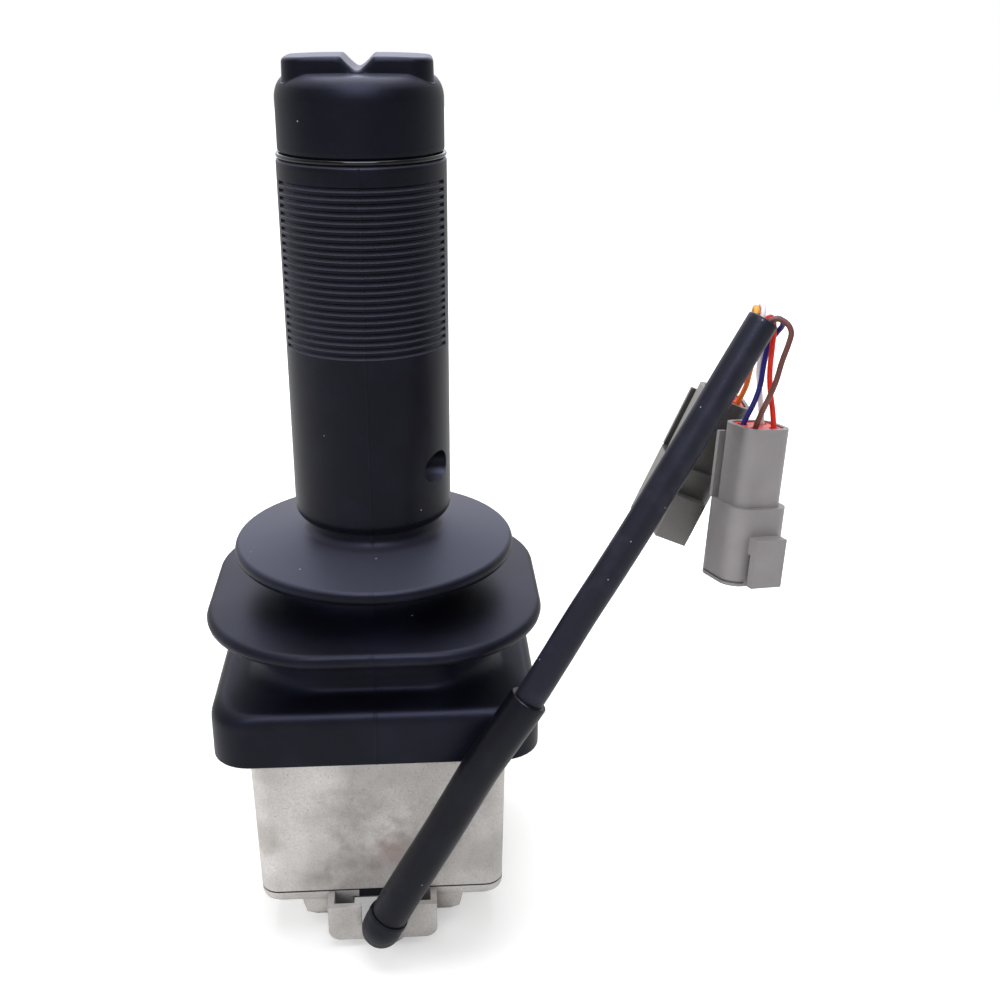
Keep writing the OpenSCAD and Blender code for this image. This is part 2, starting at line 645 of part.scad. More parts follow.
// Cast bottom cover with a shallow well and the bay that the cable leaves through
module bottom_cover() {
  bay_low = cover_z - bay_h;
  well_back = -foot_half + well_l;
  wall_in = bay_front + bay_wall;
  edge = 3.2;
  // The hollow's side walls stay under the board's posts, which stand on them
  hollow_half = min(well_w / 2 - bay_wall - 2, board_post + 1.5);
  color(cast_grey) difference() {
    union() {
      hull() {
        round_slab(foot_half, housing_corner, cover_low + edge, cover_t - edge, hull_fn);
        for (k = [1:3]) let(a = 30 * k, d = edge * (1 - cos(a)))
          round_slab(foot_half - d, housing_corner - d / 2, cover_low + edge * (1 - sin(a)), eps,
            hull_fn);
      }
      hull() {
        translate([-well_w / 2, -foot_half + 1, cover_low]) cube([well_w, well_l - 1, 1]);
        translate([-well_w / 2 + 1, -foot_half + 1.5, well_low + 3])
          cube([well_w - 2, well_l - 3, 1]);
        translate([-well_w / 2 + 4, -foot_half + 4, well_low]) cube([well_w - 8, well_l - 8, 1]);
      }
      along_y(bay_front, -foot_half + 4) bay_outline(bay_w / 2, bay_low);
      intersection() {
        translate([0, 0, notch_z]) rod_y(cable_notch_r + bay_wall + 0.2, bay_front, bay_front + 4);
        translate([-bay_w / 2, bay_front - 1, notch_z - 20]) cube([bay_w, 8, 20]);
      }
      at_corners(board_post) translate([0, 0, cover_low + 1]) cylinder(r = 3, h = board_z - cover_low - 1);
    }
    difference() {
      translate([-hollow_half, -foot_half + 3, well_low + bay_wall])
        cube([2 * hollow_half, well_l - 8, cover_z - well_low]);
      translate([-recess_half - bay_wall, -foot_half, well_low])
        cube([2 * (recess_half + bay_wall), recess_l + bay_wall, 20]);
      at_corners(board_post) translate([0, 0, cover_low - 2]) cylinder(r = 3, h = 12);
    }
    along_y(wall_in, -foot_half + eps) bay_outline(bay_w / 2 - bay_wall, bay_low + bay_wall);
    translate([-recess_half, wall_in + 0.8, bay_low - 3])
      cube([2 * recess_half, bay_out - bay_wall - 0.8 + recess_l, cover_z - window_h - bay_low + 3]);
    translate([-window_w / 2 + 1, -foot_half - 1, cover_z - window_h])
      cube([window_w, 4.4, window_h + 1]);
    translate([0, 0, notch_z]) rod_y(cable_notch_r, bay_front - 1, wall_in + 1);
    translate([-cable_notch_r, bay_front - 1, notch_z])
      cube([2 * cable_notch_r, bay_wall + 2, cable_notch_drop + 1]);
    translate([tail_path[0][0], 0, tail_path[0][2]])
      rod_y(jacket_d / 2, -foot_half + recess_l - 1, -foot_half + recess_l + bay_wall + 1);
    at_corners(post_off) translate([0, 0, cover_low - 1]) cylinder(r = tapping_r + 0.3, h = cover_t + 2);
    at_corners(post_off) translate([0, 0, cover_low - 1]) cylinder(r = cover_head_r + 0.4, h = 3);
    at_corners(board_post) translate([0, 0, board_z - 3]) cylinder(r = board_screw_r, h = 4);
  }
}

module cover_screws() {
  color(zinc) at_corners(post_off) {
    translate([0, 0, cover_low + 2]) cylinder(r = tapping_r, h = cover_t + gasket_t + cover_screw_l - 2);
    difference() {
      translate([0, 0, cover_low + 0.2]) cylinder(r = cover_head_r, h = 1.8);
      translate([0, 0, cover_low - 1]) cylinder(r = cover_head_r / 2, h = 2.2, $fn = 6);
    }
  }
}

// Moulded strain relief: a tail from the cover's recess and a collar that turns up in the notch
module cable_grommet() {
  color(rubber) {
    tube(collar_path, cable_notch_r - 0.5, 16, [1, 0, 0]);
    tube(tail_path, jacket_d / 2, 16, [1, 0, 0]);
  }
}

module window_plug() {
  color(rubber) translate([-window_w / 2 + 1, -foot_half, cover_z - window_h])
    cube([window_w, 3.4, window_h]);
}

module cable_sleeve() {
  color(cord_black) tube([for (i = [0:sleeve_points - 1]) cable_path[i]], sleeve_d / 2, 12);
}

module cable_jacket() {
  color(cord_black)
    tube([for (i = [sleeve_points - 1:len(cable_path) - 1]) cable_path[i]], jacket_d / 2, 12);
}

module wire(i, c) {
  color(c) tube(wire_paths[i], wire_d / 2, 8, i == 1 ? [0, 1, 0] : [1, 0, 0]);
}

// One sealed four-way connector, hanging with its mating face down from the middle of its rear
module hang(pos, lean, turn) {
  translate(pos) rotate([lean[0], 0, 0]) rotate([0, lean[1], 0]) rotate([0, 0, turn]) children();
}

module plug_slab(w, d, corner, z0, z1) {
  translate([0, 0, z0]) linear_extrude(z1 - z0) {
    square([w, d - 2 * corner], center = true);
    square([w - 2 * corner, d], center = true);
    for (x = [-1, 1], y = [-1, 1]) translate([x * (w / 2 - corner), y * (d / 2 - corner)])
      circle(r = corner);
  }
}

// Rear body, front shell with a groove above its lip, a sprung latch in front and a thin rail behind
module plug_body() {
  groove_z = shell_low + 0.9;
  groove_t = 0.7;
  lug_y = -plug_d / 2 - latch_out;
  gap_y = -plug_d / 2 - 1.5;
  color(plug_grey) difference() {
    union() {
      plug_slab(plug_rear_w, plug_rear_d, 4, -plug_rear_l - 1, 0);
      difference() {
        plug_slab(plug_w, plug_d, 5, shell_low, -plug_rear_l);
        difference() {
          plug_slab(plug_w + 2, plug_d + 2, 5, groove_z, groove_z + groove_t);
          plug_slab(plug_w - 1.6, plug_d - 1.6, 4.2, groove_z - 1, groove_z + groove_t + 1);
        }
      }
      translate([latch_x, lug_y, latch_top - latch_h]) cube([latch_w, latch_out + 1, latch_h]);
      translate([-plug_w / 2 + 1, plug_rear_d / 2 - 0.4, -plug_rear_l]) cube([2.3, 1.4, 19.8]);
    }
    translate([latch_x - 1, gap_y, latch_top - latch_h - 1]) cube([latch_w + 2, 1.4, 10.4]);
    plug_slab(plug_rear_w - 2 * plug_wall, plug_rear_d - 2 * plug_wall, 2.5, -seal_depth, 1);
    plug_slab(plug_w - 3, plug_d - 3, 3.5, shell_low - 1, shell_low + 6);
  }
}

module plug_seal() {
  hole_r = 1.4;
  color(seal_red) difference() {
    plug_slab(plug_rear_w - 2 * plug_wall - 0.2, plug_rear_d - 2 * plug_wall - 0.2, 2.4,
      -seal_depth, -seal_sink);
    for (x = [-1, 1], y = [-1, 1]) translate([x * wire_seat[0], y * wire_seat[1], wire_end])
      cylinder(r = hole_r, h = 2, $fn = 24);
  }
}

module plug_wedge() {
  color(black_plastic) difference() {
    plug_slab(plug_w - 5, plug_d - 5, 2.5, shell_low + 0.6, shell_low + 6);
    for (x = [-1, 1], y = [-1, 1]) translate([x * 4, y * 2.6, shell_low - 1]) cylinder(r = 1.2, h = 4);
  }
}

module pivot_axle() {
  color(zinc) translate([0, 0, pivot_z]) difference() {
    rod_x(axle_r, -clip_x - 2.4, axle_end);
    for (s = [-1, 1]) translate([s * clip_x - (s > 0 ? 0 : 0.8), 0, 0]) difference() {
      rod_x(axle_r + 1, 0, 0.8);
      rod_x(axle_r - 0.7, -1, 2);
    }
  }
}

module axle_clips() {
  color(steel) for (s = [-1, 1]) translate([s * clip_x - (s > 0 ? 0 : 0.8), 0, pivot_z]) difference() {
    rod_x(axle_r + 2.4, 0, 0.8);
    rod_x(axle_r - 0.7, -1, 2);
    translate([-1, -1.8, 0]) cube([3, 3.6, axle_r + 4]);
  }
}

// Hub on the axle: socket for the tube above, moving spring pin below
module pivot_hub() {
  block_x = -hub_half + 1 + 3 * (spring_wire + 0.25) + spring_wire + 0.6;
  color(zinc) difference() {
    union() {
      translate([0, 0, pivot_z]) rod_x(boss_r, -hub_half, hub_half);
      translate([block_x, -hub_y, pivot_z]) cube([hub_half - block_x, 2 * hub_y, hub_top - pivot_z]);
      translate([0, 0, pivot_z]) rod_x(hub_y, block_x, hub_half);
      translate([0, 0, hub_top - 6]) cylinder(r = shaft_r + 4, h = 6);
      translate([0, 0, pivot_z - moving_pin_off]) rod_x(spring_pin_r, -hub_half, block_x + 1);
    }
    translate([0, 0, pivot_z]) rod_x(axle_r, -hub_half - 1, hub_half + 1);
    translate([0, 0, socket_z]) cylinder(r = shaft_r, h = hub_top - socket_z + 1);
    translate([0, 0, shaft_pin_z]) rod_y(shaft_pin_r, -hub_y - 1, hub_y + 1);
  }
}

module shaft_pin() {
  color(steel) translate([0, 0, shaft_pin_z]) rod_y(shaft_pin_r, -hub_y + 0.5, hub_y - 0.5);
}

module stick_shaft() {
  color(zinc) difference() {
    translate([0, 0, socket_z]) cylinder(r = shaft_r, h = shaft_top - socket_z);
    translate([0, 0, socket_z - 1]) cylinder(r = shaft_bore, h = shaft_top - socket_z + 2);
    translate([0, 0, shaft_pin_z]) rod_y(shaft_pin_r, -shaft_r - 1, shaft_r + 1);
  }
}

module magnet_holder() {
  color(black_plastic) translate([0, 0, pivot_z]) difference() {
    rod_x(holder_r, holder_x, axle_end + magnet_t);
    rod_x(axle_r, holder_x - 1, axle_end + eps);
    rod_x(axle_r + 0.5, axle_end, axle_end + magnet_t + 1);
  }
}

module sensor_magnet() {
  color(steel) translate([0, 0, pivot_z]) rod_x(axle_r + 0.5, axle_end, axle_end + magnet_t);
}

// Grip shell in section: a straight wall with a rounded foot that closes on the tube
module grip_section() {
  foot_t = 3;
  edge = [for (k = [0:6]) let(a = -90 + 15 * k)
    [grip_r - grip_edge + grip_edge * cos(a), grip_z + grip_edge + grip_edge * sin(a)]];
  polygon(concat([[shaft_r + running, grip_z]], edge,
    [[grip_r, grip_top - 0.5], [grip_r - 0.5, grip_top], [grip_in, grip_top],
     [grip_in, grip_z + foot_t + 2], [grip_in - 2, grip_z + foot_t],
     [shaft_r + running, grip_z + foot_t]]));
}

// The ribbed panel's grooves on one side, from the seam to the panel's edge
module grooves() {
  depth = groove_depth;
  for (k = [0:groove_n - 1]) translate([0, 0, groove_top - groove_pitch * k])
    rotate([0, 0, 90 - panel_angle]) rotate_extrude(angle = 2 * panel_angle)
      polygon([[grip_r - depth, -groove_w / 4], [grip_r + 1, -groove_w / 2 - 0.4],
        [grip_r + 1, groove_w / 2 + 0.4], [grip_r - depth, groove_w / 4]]);
}

module grip_shell(side) {
  seat = side > 0 ? screw_seat_x : 2;
  x0 = side > 0 ? 0 : -grip_r - 1;
  color(grip_black) difference() {
    intersection() {
      translate([x0, -grip_r - 1, grip_z - 1]) cube([grip_r + 1, 2 * grip_r + 2, grip_h + 2]);
      union() {
        rotate_extrude() grip_section();
        translate([0, 0, grip_z + 1]) cylinder(r = saddle_r, h = shaft_top - grip_z - 1);
        intersection() {
          for (y = [-1, 1]) translate([0, y * grip_screw_off, grip_screw_z])
            rod_x(counterbore_r + 1.6, -grip_r, grip_r);
          translate([0, 0, grip_z + 1]) cylinder(r = grip_in + 1, h = grip_h - 2);
        }
      }
    }
    translate([0, 0, grip_z - 1]) cylinder(r = shaft_r + running, h = grip_h);
    grooves();
    rotate([0, 0, 180]) grooves();
    for (y = [-1, 1]) translate([0, y * grip_screw_off, grip_screw_z]) {
      if (side > 0) rod_x(counterbore_r, seat, grip_r + 1);
      if (side > 0) rod_x(grip_screw_r + 0.2, -1, seat + 1);
      if (side < 0) rod_x(grip_screw_r, -grip_screw_l - 1, 1);
    }
    for (y = [-1, 1]) translate([0, y * grip_r, grip_z - 1]) rotate([0, 0, 45])
      translate([-0.3, -0.3, 0]) cube([0.6, 0.6, grip_h + 2]);
  }
}

module grip_right() { grip_shell(1); }
module grip_left() { grip_shell(-1); }

module grip_screws() {
  color(zinc) for (y = [-1, 1]) translate([0, y * grip_screw_off, grip_screw_z]) {
    rod_x(grip_screw_r, -grip_screw_l, screw_seat_x);
    difference() {
      rod_x(grip_screw_head_r, screw_seat_x, screw_seat_x + grip_head_h);
      translate([screw_seat_x + grip_head_h / 2, 0, 0]) rotate([0, 90, 0])
        cylinder(r = 1.7, h = grip_head_h, $fn = 6);
    }
  }
}

module bead_ring() {
  half_h = bead_h / 2;
  color(grip_black) translate([0, 0, bead_z + half_h]) rotate_extrude() {
    translate([grip_in, -half_h]) square([grip_wall - half_h, bead_h]);
    translate([grip_r - half_h, 0]) circle(r = half_h, $fn = 24);
  }
}

// Plastic carrier: plugs into the grip, carries the cap, the switch and the rocker's pin
module switch_carrier() {
  ear_y = rocker_w / 2 + 1.4;
  ear_h = rocker_pin_z + 3.2 - cap_z;
  spigot = grip_in - running;
  color(black_plastic) difference() {
    union() {
      translate([0, 0, grip_top - 8]) cylinder(r = spigot, h = switch_z - grip_top + 8);
      for (y = [-1, 1]) translate([-4, y * ear_y - 1.2, cap_z]) cube([8, 2.4, ear_h]);
    }
    translate([0, 0, grip_top - 9]) cylinder(r = spigot - 2.4, h = cap_z - grip_top + 9 - 0.6);
    translate([0, 0, grip_top - 9]) cylinder(r = 5, h = 30);
    for (x = [-1, 1]) translate([x * plunger_off, 0, cap_z - 3]) cylinder(r = plunger_r + clear, h = 9);
    translate([0, 0, rocker_pin_z]) rod_y(rocker_pin_r, -ear_y - 3, ear_y + 3);
  }
}

module rocker_switch() {
  color(black_plastic) difference() {
    translate([-plunger_off - 4, -5, switch_z]) cube([2 * plunger_off + 8, 10, switch_h]);
    for (x = [-1, 1]) translate([x * plunger_off, 0, switch_z - 1])
      cylinder(r = plunger_r + clear, h = switch_h + 2);
  }
}

module rocker_pin() {
  ear_y = rocker_w / 2 + 1.4;
  color(zinc) translate([0, 0, rocker_pin_z]) rod_y(rocker_pin_r, -ear_y - 1.2, ear_y + 1.2);
}

// Rounded rectangle in plan, for the pads and for the opening round them
module pad_outline(grow) {
  half_l = rocker_l / 2 + grow;
  half_w = rocker_w / 2 + grow;
  corner = rocker_corner + grow;
  square([2 * half_l, 2 * (half_w - corner)], center = true);
  square([2 * (half_l - corner), 2 * half_w], center = true);
  for (x = [-1, 1], y = [-1, 1]) translate([x * (half_l - corner), y * (half_w - corner)])
    circle(r = corner);
}

module head_cap() {
  shoulder = [for (k = [0:6]) let(a = 15 * k)
    [cap_r - shoulder_w * (1 - cos(a)), cap_top - shoulder_h + shoulder_h * sin(a)]];
  color(rubber) difference() {
    rotate_extrude() polygon(concat([[cap_in, cap_z], [cap_r - 0.4, cap_z], [cap_r, cap_z + 0.4]],
      shoulder, [[0, cap_top], [0, cap_top - cap_wall], [cap_in - shoulder_w + 1, cap_top - cap_wall],
      [cap_in, cap_top - shoulder_h]]));
    translate([0, 0, cap_top - shoulder_h - 2]) linear_extrude(shoulder_h + 4) pad_outline(rocker_gap);
  }
}

// Rocker: two pads with a notch between them, on a web that turns on the pin
module thumb_rocker() {
  foot_z = plunger_tip + clear;
  pad_low = cap_top - 2.2;
  inner_w = rocker_w / 2 - 1;
  color(rubber) difference() {
    union() {
      translate([0, 0, pad_low]) linear_extrude(pad_top - 1 - pad_low) pad_outline(0);
      translate([0, 0, pad_top - 1 - eps]) linear_extrude(0.6) pad_outline(-0.3);
      translate([0, 0, pad_top - 0.5 - eps]) linear_extrude(0.5) pad_outline(-1);
      translate([-plunger_off - 3.4, -inner_w + 3, foot_z])
        cube([2 * plunger_off + 6.8, 2 * inner_w - 6, pad_low - foot_z + eps]);
      translate([0, 0, rocker_pin_z]) rod_y(4, -inner_w, inner_w);
      translate([-4, -inner_w, rocker_pin_z]) cube([8, 2 * inner_w, pad_low - rocker_pin_z + eps]);
    }
    translate([0, 0, rocker_pin_z]) rod_y(rocker_pin_r + running, -inner_w - 1, inner_w + 1);
    along_y(-rocker_w, rocker_w) polygon([[-0.8, cap_top - 0.2], [0.8, cap_top - 0.2],
      [notch_half + 1.4, pad_top + 1.6], [-notch_half - 1.4, pad_top + 1.6]]);
  }
}

module plunger(x) {
  tip = 0.6;
  plunger_low = switch_z + 0.1;
  color(seal_red) translate([x, 0, 0]) {
    translate([0, 0, plunger_low]) cylinder(r = plunger_r, h = plunger_tip - tip - plunger_low);
    translate([0, 0, plunger_tip - tip]) cylinder(r1 = plunger_r, r2 = plunger_r - tip, h = tip);
  }
}

module plunger_left() { plunger(-plunger_off); }
module plunger_right() { plunger(plunger_off); }

housing();
pivot_bracket();
bracket_screws();
pivot_bushes();
centring_spring();
sensor_module();
circuit_board();
board_screws();
cover_gasket();
bottom_cover();
cover_screws();
boot();
window_plug();
cable_grommet();
cable_sleeve();
cable_jacket();
wire(0, "#2b2a78");  // wire_blue
wire(1, "#6b4038");  // wire_brown
wire(2, "#e0321f");  // wire_red
wire(3, "#e6e2e4");  // wire_white
wire(4, "#e8862a");  // wire_orange
wire(5, "#e2b13c");  // wire_yellow
hang(plug_a_pos, plug_a_lean, plug_a_turn) plug_body();  // connector_a_body
hang(plug_a_pos, plug_a_lean, plug_a_turn) plug_seal();  // connector_a_seal
hang(plug_a_pos, plug_a_lean, plug_a_turn) plug_wedge();  // connector_a_wedge
hang(plug_b_pos, plug_b_lean, plug_b_turn) plug_body();  // connector_b_body
hang(plug_b_pos, plug_b_lean, plug_b_turn) plug_seal();  // connector_b_seal
hang(plug_b_pos, plug_b_lean, plug_b_turn) plug_wedge();  // connector_b_wedge
pivot_axle();
axle_clips();
pivot_hub();
shaft_pin();
stick_shaft();
magnet_holder();
sensor_magnet();
grip_left();
grip_right();
grip_screws();
bead_ring();
switch_carrier();
rocker_switch();
rocker_pin();
head_cap();
thumb_rocker();
plunger_left();
plunger_right();
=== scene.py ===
from math import pi, radians

import bmesh
import bpy
import numpy as np
from mathutils import Matrix, Vector


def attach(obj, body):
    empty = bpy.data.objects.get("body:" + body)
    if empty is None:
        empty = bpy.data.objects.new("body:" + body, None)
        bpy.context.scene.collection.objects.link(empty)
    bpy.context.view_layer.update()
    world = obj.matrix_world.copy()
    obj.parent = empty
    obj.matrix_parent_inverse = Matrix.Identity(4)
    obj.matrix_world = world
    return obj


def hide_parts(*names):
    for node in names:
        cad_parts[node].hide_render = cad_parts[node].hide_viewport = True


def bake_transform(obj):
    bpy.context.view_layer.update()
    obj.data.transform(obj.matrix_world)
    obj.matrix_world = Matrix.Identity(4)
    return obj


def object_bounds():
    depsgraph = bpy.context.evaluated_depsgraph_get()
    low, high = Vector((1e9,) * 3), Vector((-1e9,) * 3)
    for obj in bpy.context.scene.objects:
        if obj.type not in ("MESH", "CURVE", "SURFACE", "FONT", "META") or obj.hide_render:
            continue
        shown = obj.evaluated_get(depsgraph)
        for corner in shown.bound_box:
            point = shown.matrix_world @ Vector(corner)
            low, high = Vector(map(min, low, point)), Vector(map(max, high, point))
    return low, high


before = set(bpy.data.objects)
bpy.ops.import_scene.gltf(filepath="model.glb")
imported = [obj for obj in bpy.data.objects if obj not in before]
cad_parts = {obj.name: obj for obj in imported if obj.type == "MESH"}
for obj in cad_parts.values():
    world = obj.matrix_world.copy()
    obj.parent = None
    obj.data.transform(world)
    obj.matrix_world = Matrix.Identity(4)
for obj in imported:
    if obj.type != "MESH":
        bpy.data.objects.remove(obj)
cad_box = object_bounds()
mm = 0.001

# Camera: close in front of the joystick, a little higher than its head and looking down at the boot.
# Heading is the turn towards +X, dip the angle below the horizon and roll the tilt of the frame.
heading, dip, roll = radians(3.98), radians(22.12), radians(0.3)
camera = bpy.data.objects.new("camera", bpy.data.cameras.new("camera"))
bpy.context.scene.collection.objects.link(camera)
camera.data.lens = 45.64
camera.data.sensor_width = 36
camera.data.clip_start = 0.01
camera.matrix_world = (Matrix.Translation((14.2 * mm, -376.7 * mm, 218.6 * mm))
                       @ Matrix.Rotation(-heading, 4, "Z")
                       @ Matrix.Rotation(pi / 2 - dip, 4, "X")
                       @ Matrix.Rotation(roll, 4, "Z"))
bpy.context.scene.camera = camera


# Cable: a round PVC jacket over six leads, stiff enough to stand on its own strain relief.
# It leaves the notch in the bottom cover, passes the skirt's corner and ends cut square.
cable_route = np.array([
    [2.5, -55.8, -51.5], [6.5, -56.5, -43.5], [12.2, -56.8, -33], [18.6, -56.8, -21.5],
    [24.8, -56.6, -10], [31, -56.4, 1.5], [38, -56.4, 13], [45.4, -55.8, 24.6], [52.8, -54.4, 37],
    [60.2, -52.8, 49.6], [68.6, -50.8, 63], [77, -48.6, 76.6], [85.2, -46.4, 90.5],
    [93.6, -44, 104.6], [102.2, -41, 119], [110.8, -38, 133]]) * mm
jacket_r = 4.5 * mm
jacket_wall = 1.3 * mm
# Faces that meet at a larger angle than this have a hard edge between them
crease = radians(38)


def curve_through(points, steps):
    """Catmull-Rom curve: each span is the cubic that leaves and arrives along its neighbours' chord."""
    p = np.vstack([2 * points[0] - points[1], points, 2 * points[-1] - points[-2]])
    t = (np.arange(steps) / steps)[None, :, None]
    a, b, c, d = (p[i:len(p) - 3 + i, None, :] for i in range(4))
    spans = 0.5 * (2 * b + (c - a) * t + (2 * a - 5 * b + 4 * c - d) * t ** 2
                   + (3 * b - 3 * c + d - a) * t ** 3)
    return np.vstack([spans.reshape(-1, 3), points[-1:]])


def length_of(path):
    """Sum of the distances between neighbouring points."""
    return float(np.linalg.norm(np.diff(path, axis=0), axis=1).sum())


def skin(name, rows, ring=True, loop=False):
    """Mesh over a grid of points, row by row. ring joins the last column to the first, loop the last
    row to the first. An open end of rows is closed with one flat face. Faces point outwards."""
    n, m = rows.shape[:2]
    down = np.arange(n if loop else n - 1)[:, None]
    along = np.arange(m if ring else m - 1)[None, :]
    nr, nc = (down + 1) % n, (along + 1) % m
    quads = np.stack(np.broadcast_arrays(down * m + along, down * m + nc, nr * m + nc, nr * m + along), -1)
    faces = quads.reshape(-1, 4).tolist()
    if ring and not loop:
        faces += [list(range(m - 1, -1, -1)), list(range((n - 1) * m, n * m))]
    if loop and not ring:
        faces += [list(range(0, n * m, m)), list(range(m - 1, n * m, m))[::-1]]
    mesh = bpy.data.meshes.new(name)
    mesh.from_pydata(rows.reshape(-1, 3).tolist(), [], faces)
    work = bmesh.new()
    work.from_mesh(mesh)
    bmesh.ops.remove_doubles(work, verts=work.verts, dist=1e-7)
    bmesh.ops.recalc_face_normals(work, faces=work.faces)
    if work.calc_volume(signed=True) < 0:
        bmesh.ops.reverse_faces(work, faces=work.faces)
    work.to_mesh(mesh)
    work.free()
    mesh.shade_smooth()
    mesh.set_sharp_from_angle(angle=crease)
    piece = bpy.data.objects.new(name, mesh)
    bpy.context.scene.collection.objects.link(piece)
    return piece


def sweep(name, path, stations, radii, sides, side_axis):
    """Round tube along a path: at each station, a length along the path, a ring of the given radius
    stands square to the path, turned from the side axis."""
    gone = np.r_[0, np.cumsum(np.linalg.norm(np.diff(path, axis=0), axis=1))]
    slope = np.gradient(path, axis=0)
    at = lambda table: np.stack([np.interp(stations, gone, table[:, i]) for i in range(3)], 1)
    middle, forward = at(path), at(slope)
    forward /= np.linalg.norm(forward, axis=1)[:, None]
    across = np.cross(np.array(side_axis, float), forward)
    across /= np.linalg.norm(across, axis=1)[:, None]
    up = np.cross(forward, across)
    a = (2 * pi * np.arange(sides) / sides)[None, :, None]
    circle = np.cos(a) * across[:, None, :] + np.sin(a) * up[:, None, :]
    return skin(name, middle[:, None, :] + np.asarray(radii)[:, None, None] * circle)


def linear(colour):
    """sRGB hex text to linear red, green, blue and alpha."""
    c = np.array([int(colour[i:i + 2], 16) for i in (1, 3, 5)]) / 255
    return (*np.where(c <= 0.04045, c / 12.92, ((c + 0.055) / 1.055) ** 2.4).tolist(), 1.0)


def add(material, kind, **settings):
    """A new shader node of a kind, or the given one. A setting names an input, with _ for a space and
    _0 for the first one, or a property; a socket is linked and anything else is set."""
    tree = material.node_tree
    node = kind if isinstance(kind, bpy.types.Node) else tree.nodes.new("ShaderNode" + kind)
    for key, value in settings.items():
        plain = key.replace("_", " ")
        if key[1:].isdigit():
            socket = node.inputs[int(key[1:])]
        elif plain in node.inputs and not hasattr(node, key):
            socket = node.inputs[plain]
        else:
            setattr(node, key, value)
            continue
        if isinstance(value, bpy.types.NodeSocket):
            tree.links.new(value, socket)
        else:
            socket.default_value = value
    return node


def shade(material, **settings):
    """Settings and links of the material's own shader."""
    return add(material, material.node_tree.nodes["Principled BSDF"], **settings)


def finish_of(name, roughness, metallic=0.0, specular=0.5, tint="#ffffff"):
    """New material with its shader's plain values set, and the Object coordinates that patterns read."""
    material = bpy.data.materials.new(name)
    material.use_nodes = True
    shade(material, Roughness=roughness, Metallic=metallic, Specular_IOR_Level=specular,
          Specular_Tint=linear(tint))
    place = add(material, "TexCoord").outputs["Object"]
    return material, place


def patches(material, place, size, low, high, detail=2.0):
    """Noise with blotches of the given size in metres, spread to 0..1 between two of its levels."""
    noise = add(material, "TexNoise", Vector=place, Scale=1 / size, Detail=detail)
    return add(material, "MapRange", Value=noise.outputs["Fac"], From_Min=low, From_Max=high).outputs[0]


def blended(material, factor, first, second):
    """Mix of two colours, each a hex text or a socket."""
    mix = add(material, "Mix", data_type="RGBA", _0=factor)
    for index, colour in ((6, first), (7, second)):
        if isinstance(colour, str):
            mix.inputs[index].default_value = linear(colour)
        else:
            material.node_tree.links.new(colour, mix.inputs[index])
    return mix.outputs[2]


def specks(material, place, spacing, size, share):
    """Scattered dots: one per cell of the spacing, of a radius that is a share of it, in few cells."""
    cells = add(material, "TexVoronoi", Vector=place, Scale=1 / spacing)
    dot = add(material, "Math", operation="LESS_THAN", _0=cells.outputs["Distance"], _1=size)
    luck = add(material, "SeparateColor", Color=cells.outputs["Color"]).outputs[0]
    few = add(material, "Math", operation="LESS_THAN", _0=luck, _1=share)
    return add(material, "Math", operation="MULTIPLY", _0=dot.outputs[0], _1=few.outputs[0]).outputs[0]


def dust_and_painted_toplight(material, base, dust, low, high, share, above=0.0):
    """The colour with a pale film that grows as the surface turns upwards, partly dust and partly painted
    light
    from above: none where the normal's height is low, the given share where it is high. It starts above a
    height, leaving lower faces that stand in shade without it, and is full 8 mm higher."""
    place = add(material, "TexCoord")
    upward = add(material, "SeparateXYZ", Vector=place.outputs["Normal"]).outputs["Z"]
    height = add(material, "SeparateXYZ", Vector=place.outputs["Object"]).outputs["Z"]
    dust_and_toplight = add(material, "MapRange", Value=upward, From_Min=low, From_Max=high, To_Max=share)
    out_of_shade = add(material, "MapRange", Value=height, From_Min=above, From_Max=above + 8 * mm)
    mask = add(material, "Math", operation="MULTIPLY", _0=dust_and_toplight.outputs[0], _1=out_of_shade.outputs[0])
    return blended(material, mask.outputs[0], base, dust)


def grain(material, height, depth):
    """Bump of the given depth in metres into the shader's normal."""
    bump = add(material, "Bump", Height=height, Distance=depth)
    shade(material, Normal=bump.outputs["Normal"])


def extruded_pvc(name, colour, worn, roughness):
    """Extruded PVC: satin, evenly coloured, with faint rubbed patches and a few specks of dust."""
    material, place = finish_of(name, roughness, specular=0.2, tint="#eceeff")
    rubbed = patches(material, place, 9 * mm, 0.52, 0.8)
    dust = specks(material, place, 3.2 * mm, 0.06, 0.16)
    base = blended(material, rubbed, colour, worn)
    shade(material, Base_Color=blended(material, dust, base, "#9a9aa6"))
    grain(material, patches(material, place, 0.6 * mm, 0.2, 0.8), 0.03 * mm)
    return material


cable_path = curve_through(cable_route, 12)
cable_length = length_of(cable_path)
# The cut end: how far from it each ring stands, and how much smaller the ring is
jacket_rings = 160
jacket_stations = np.r_[np.linspace(0, cable_length - 0.4 * mm, jacket_rings),
                        cable_length - np.array([0.15, 0, 0, 0.3, 4]) * mm]
jacket_end = np.array([0.08 * mm, 0.3 * mm, jacket_wall - 0.2 * mm, jacket_wall, jacket_wall])
jacket_radii = np.r_[np.full(jacket_rings, jacket_r), jacket_r - jacket_end]
cable = sweep("cable", cable_path, jacket_stations, jacket_radii, 40, (0, 1, 0))
jacket_pvc = extruded_pvc("black_pvc_jacket", "#1a1b24", "#292a36", 0.4)
cable.data.materials.append(jacket_pvc)
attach(cable, "base")
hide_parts("cable_jacket")

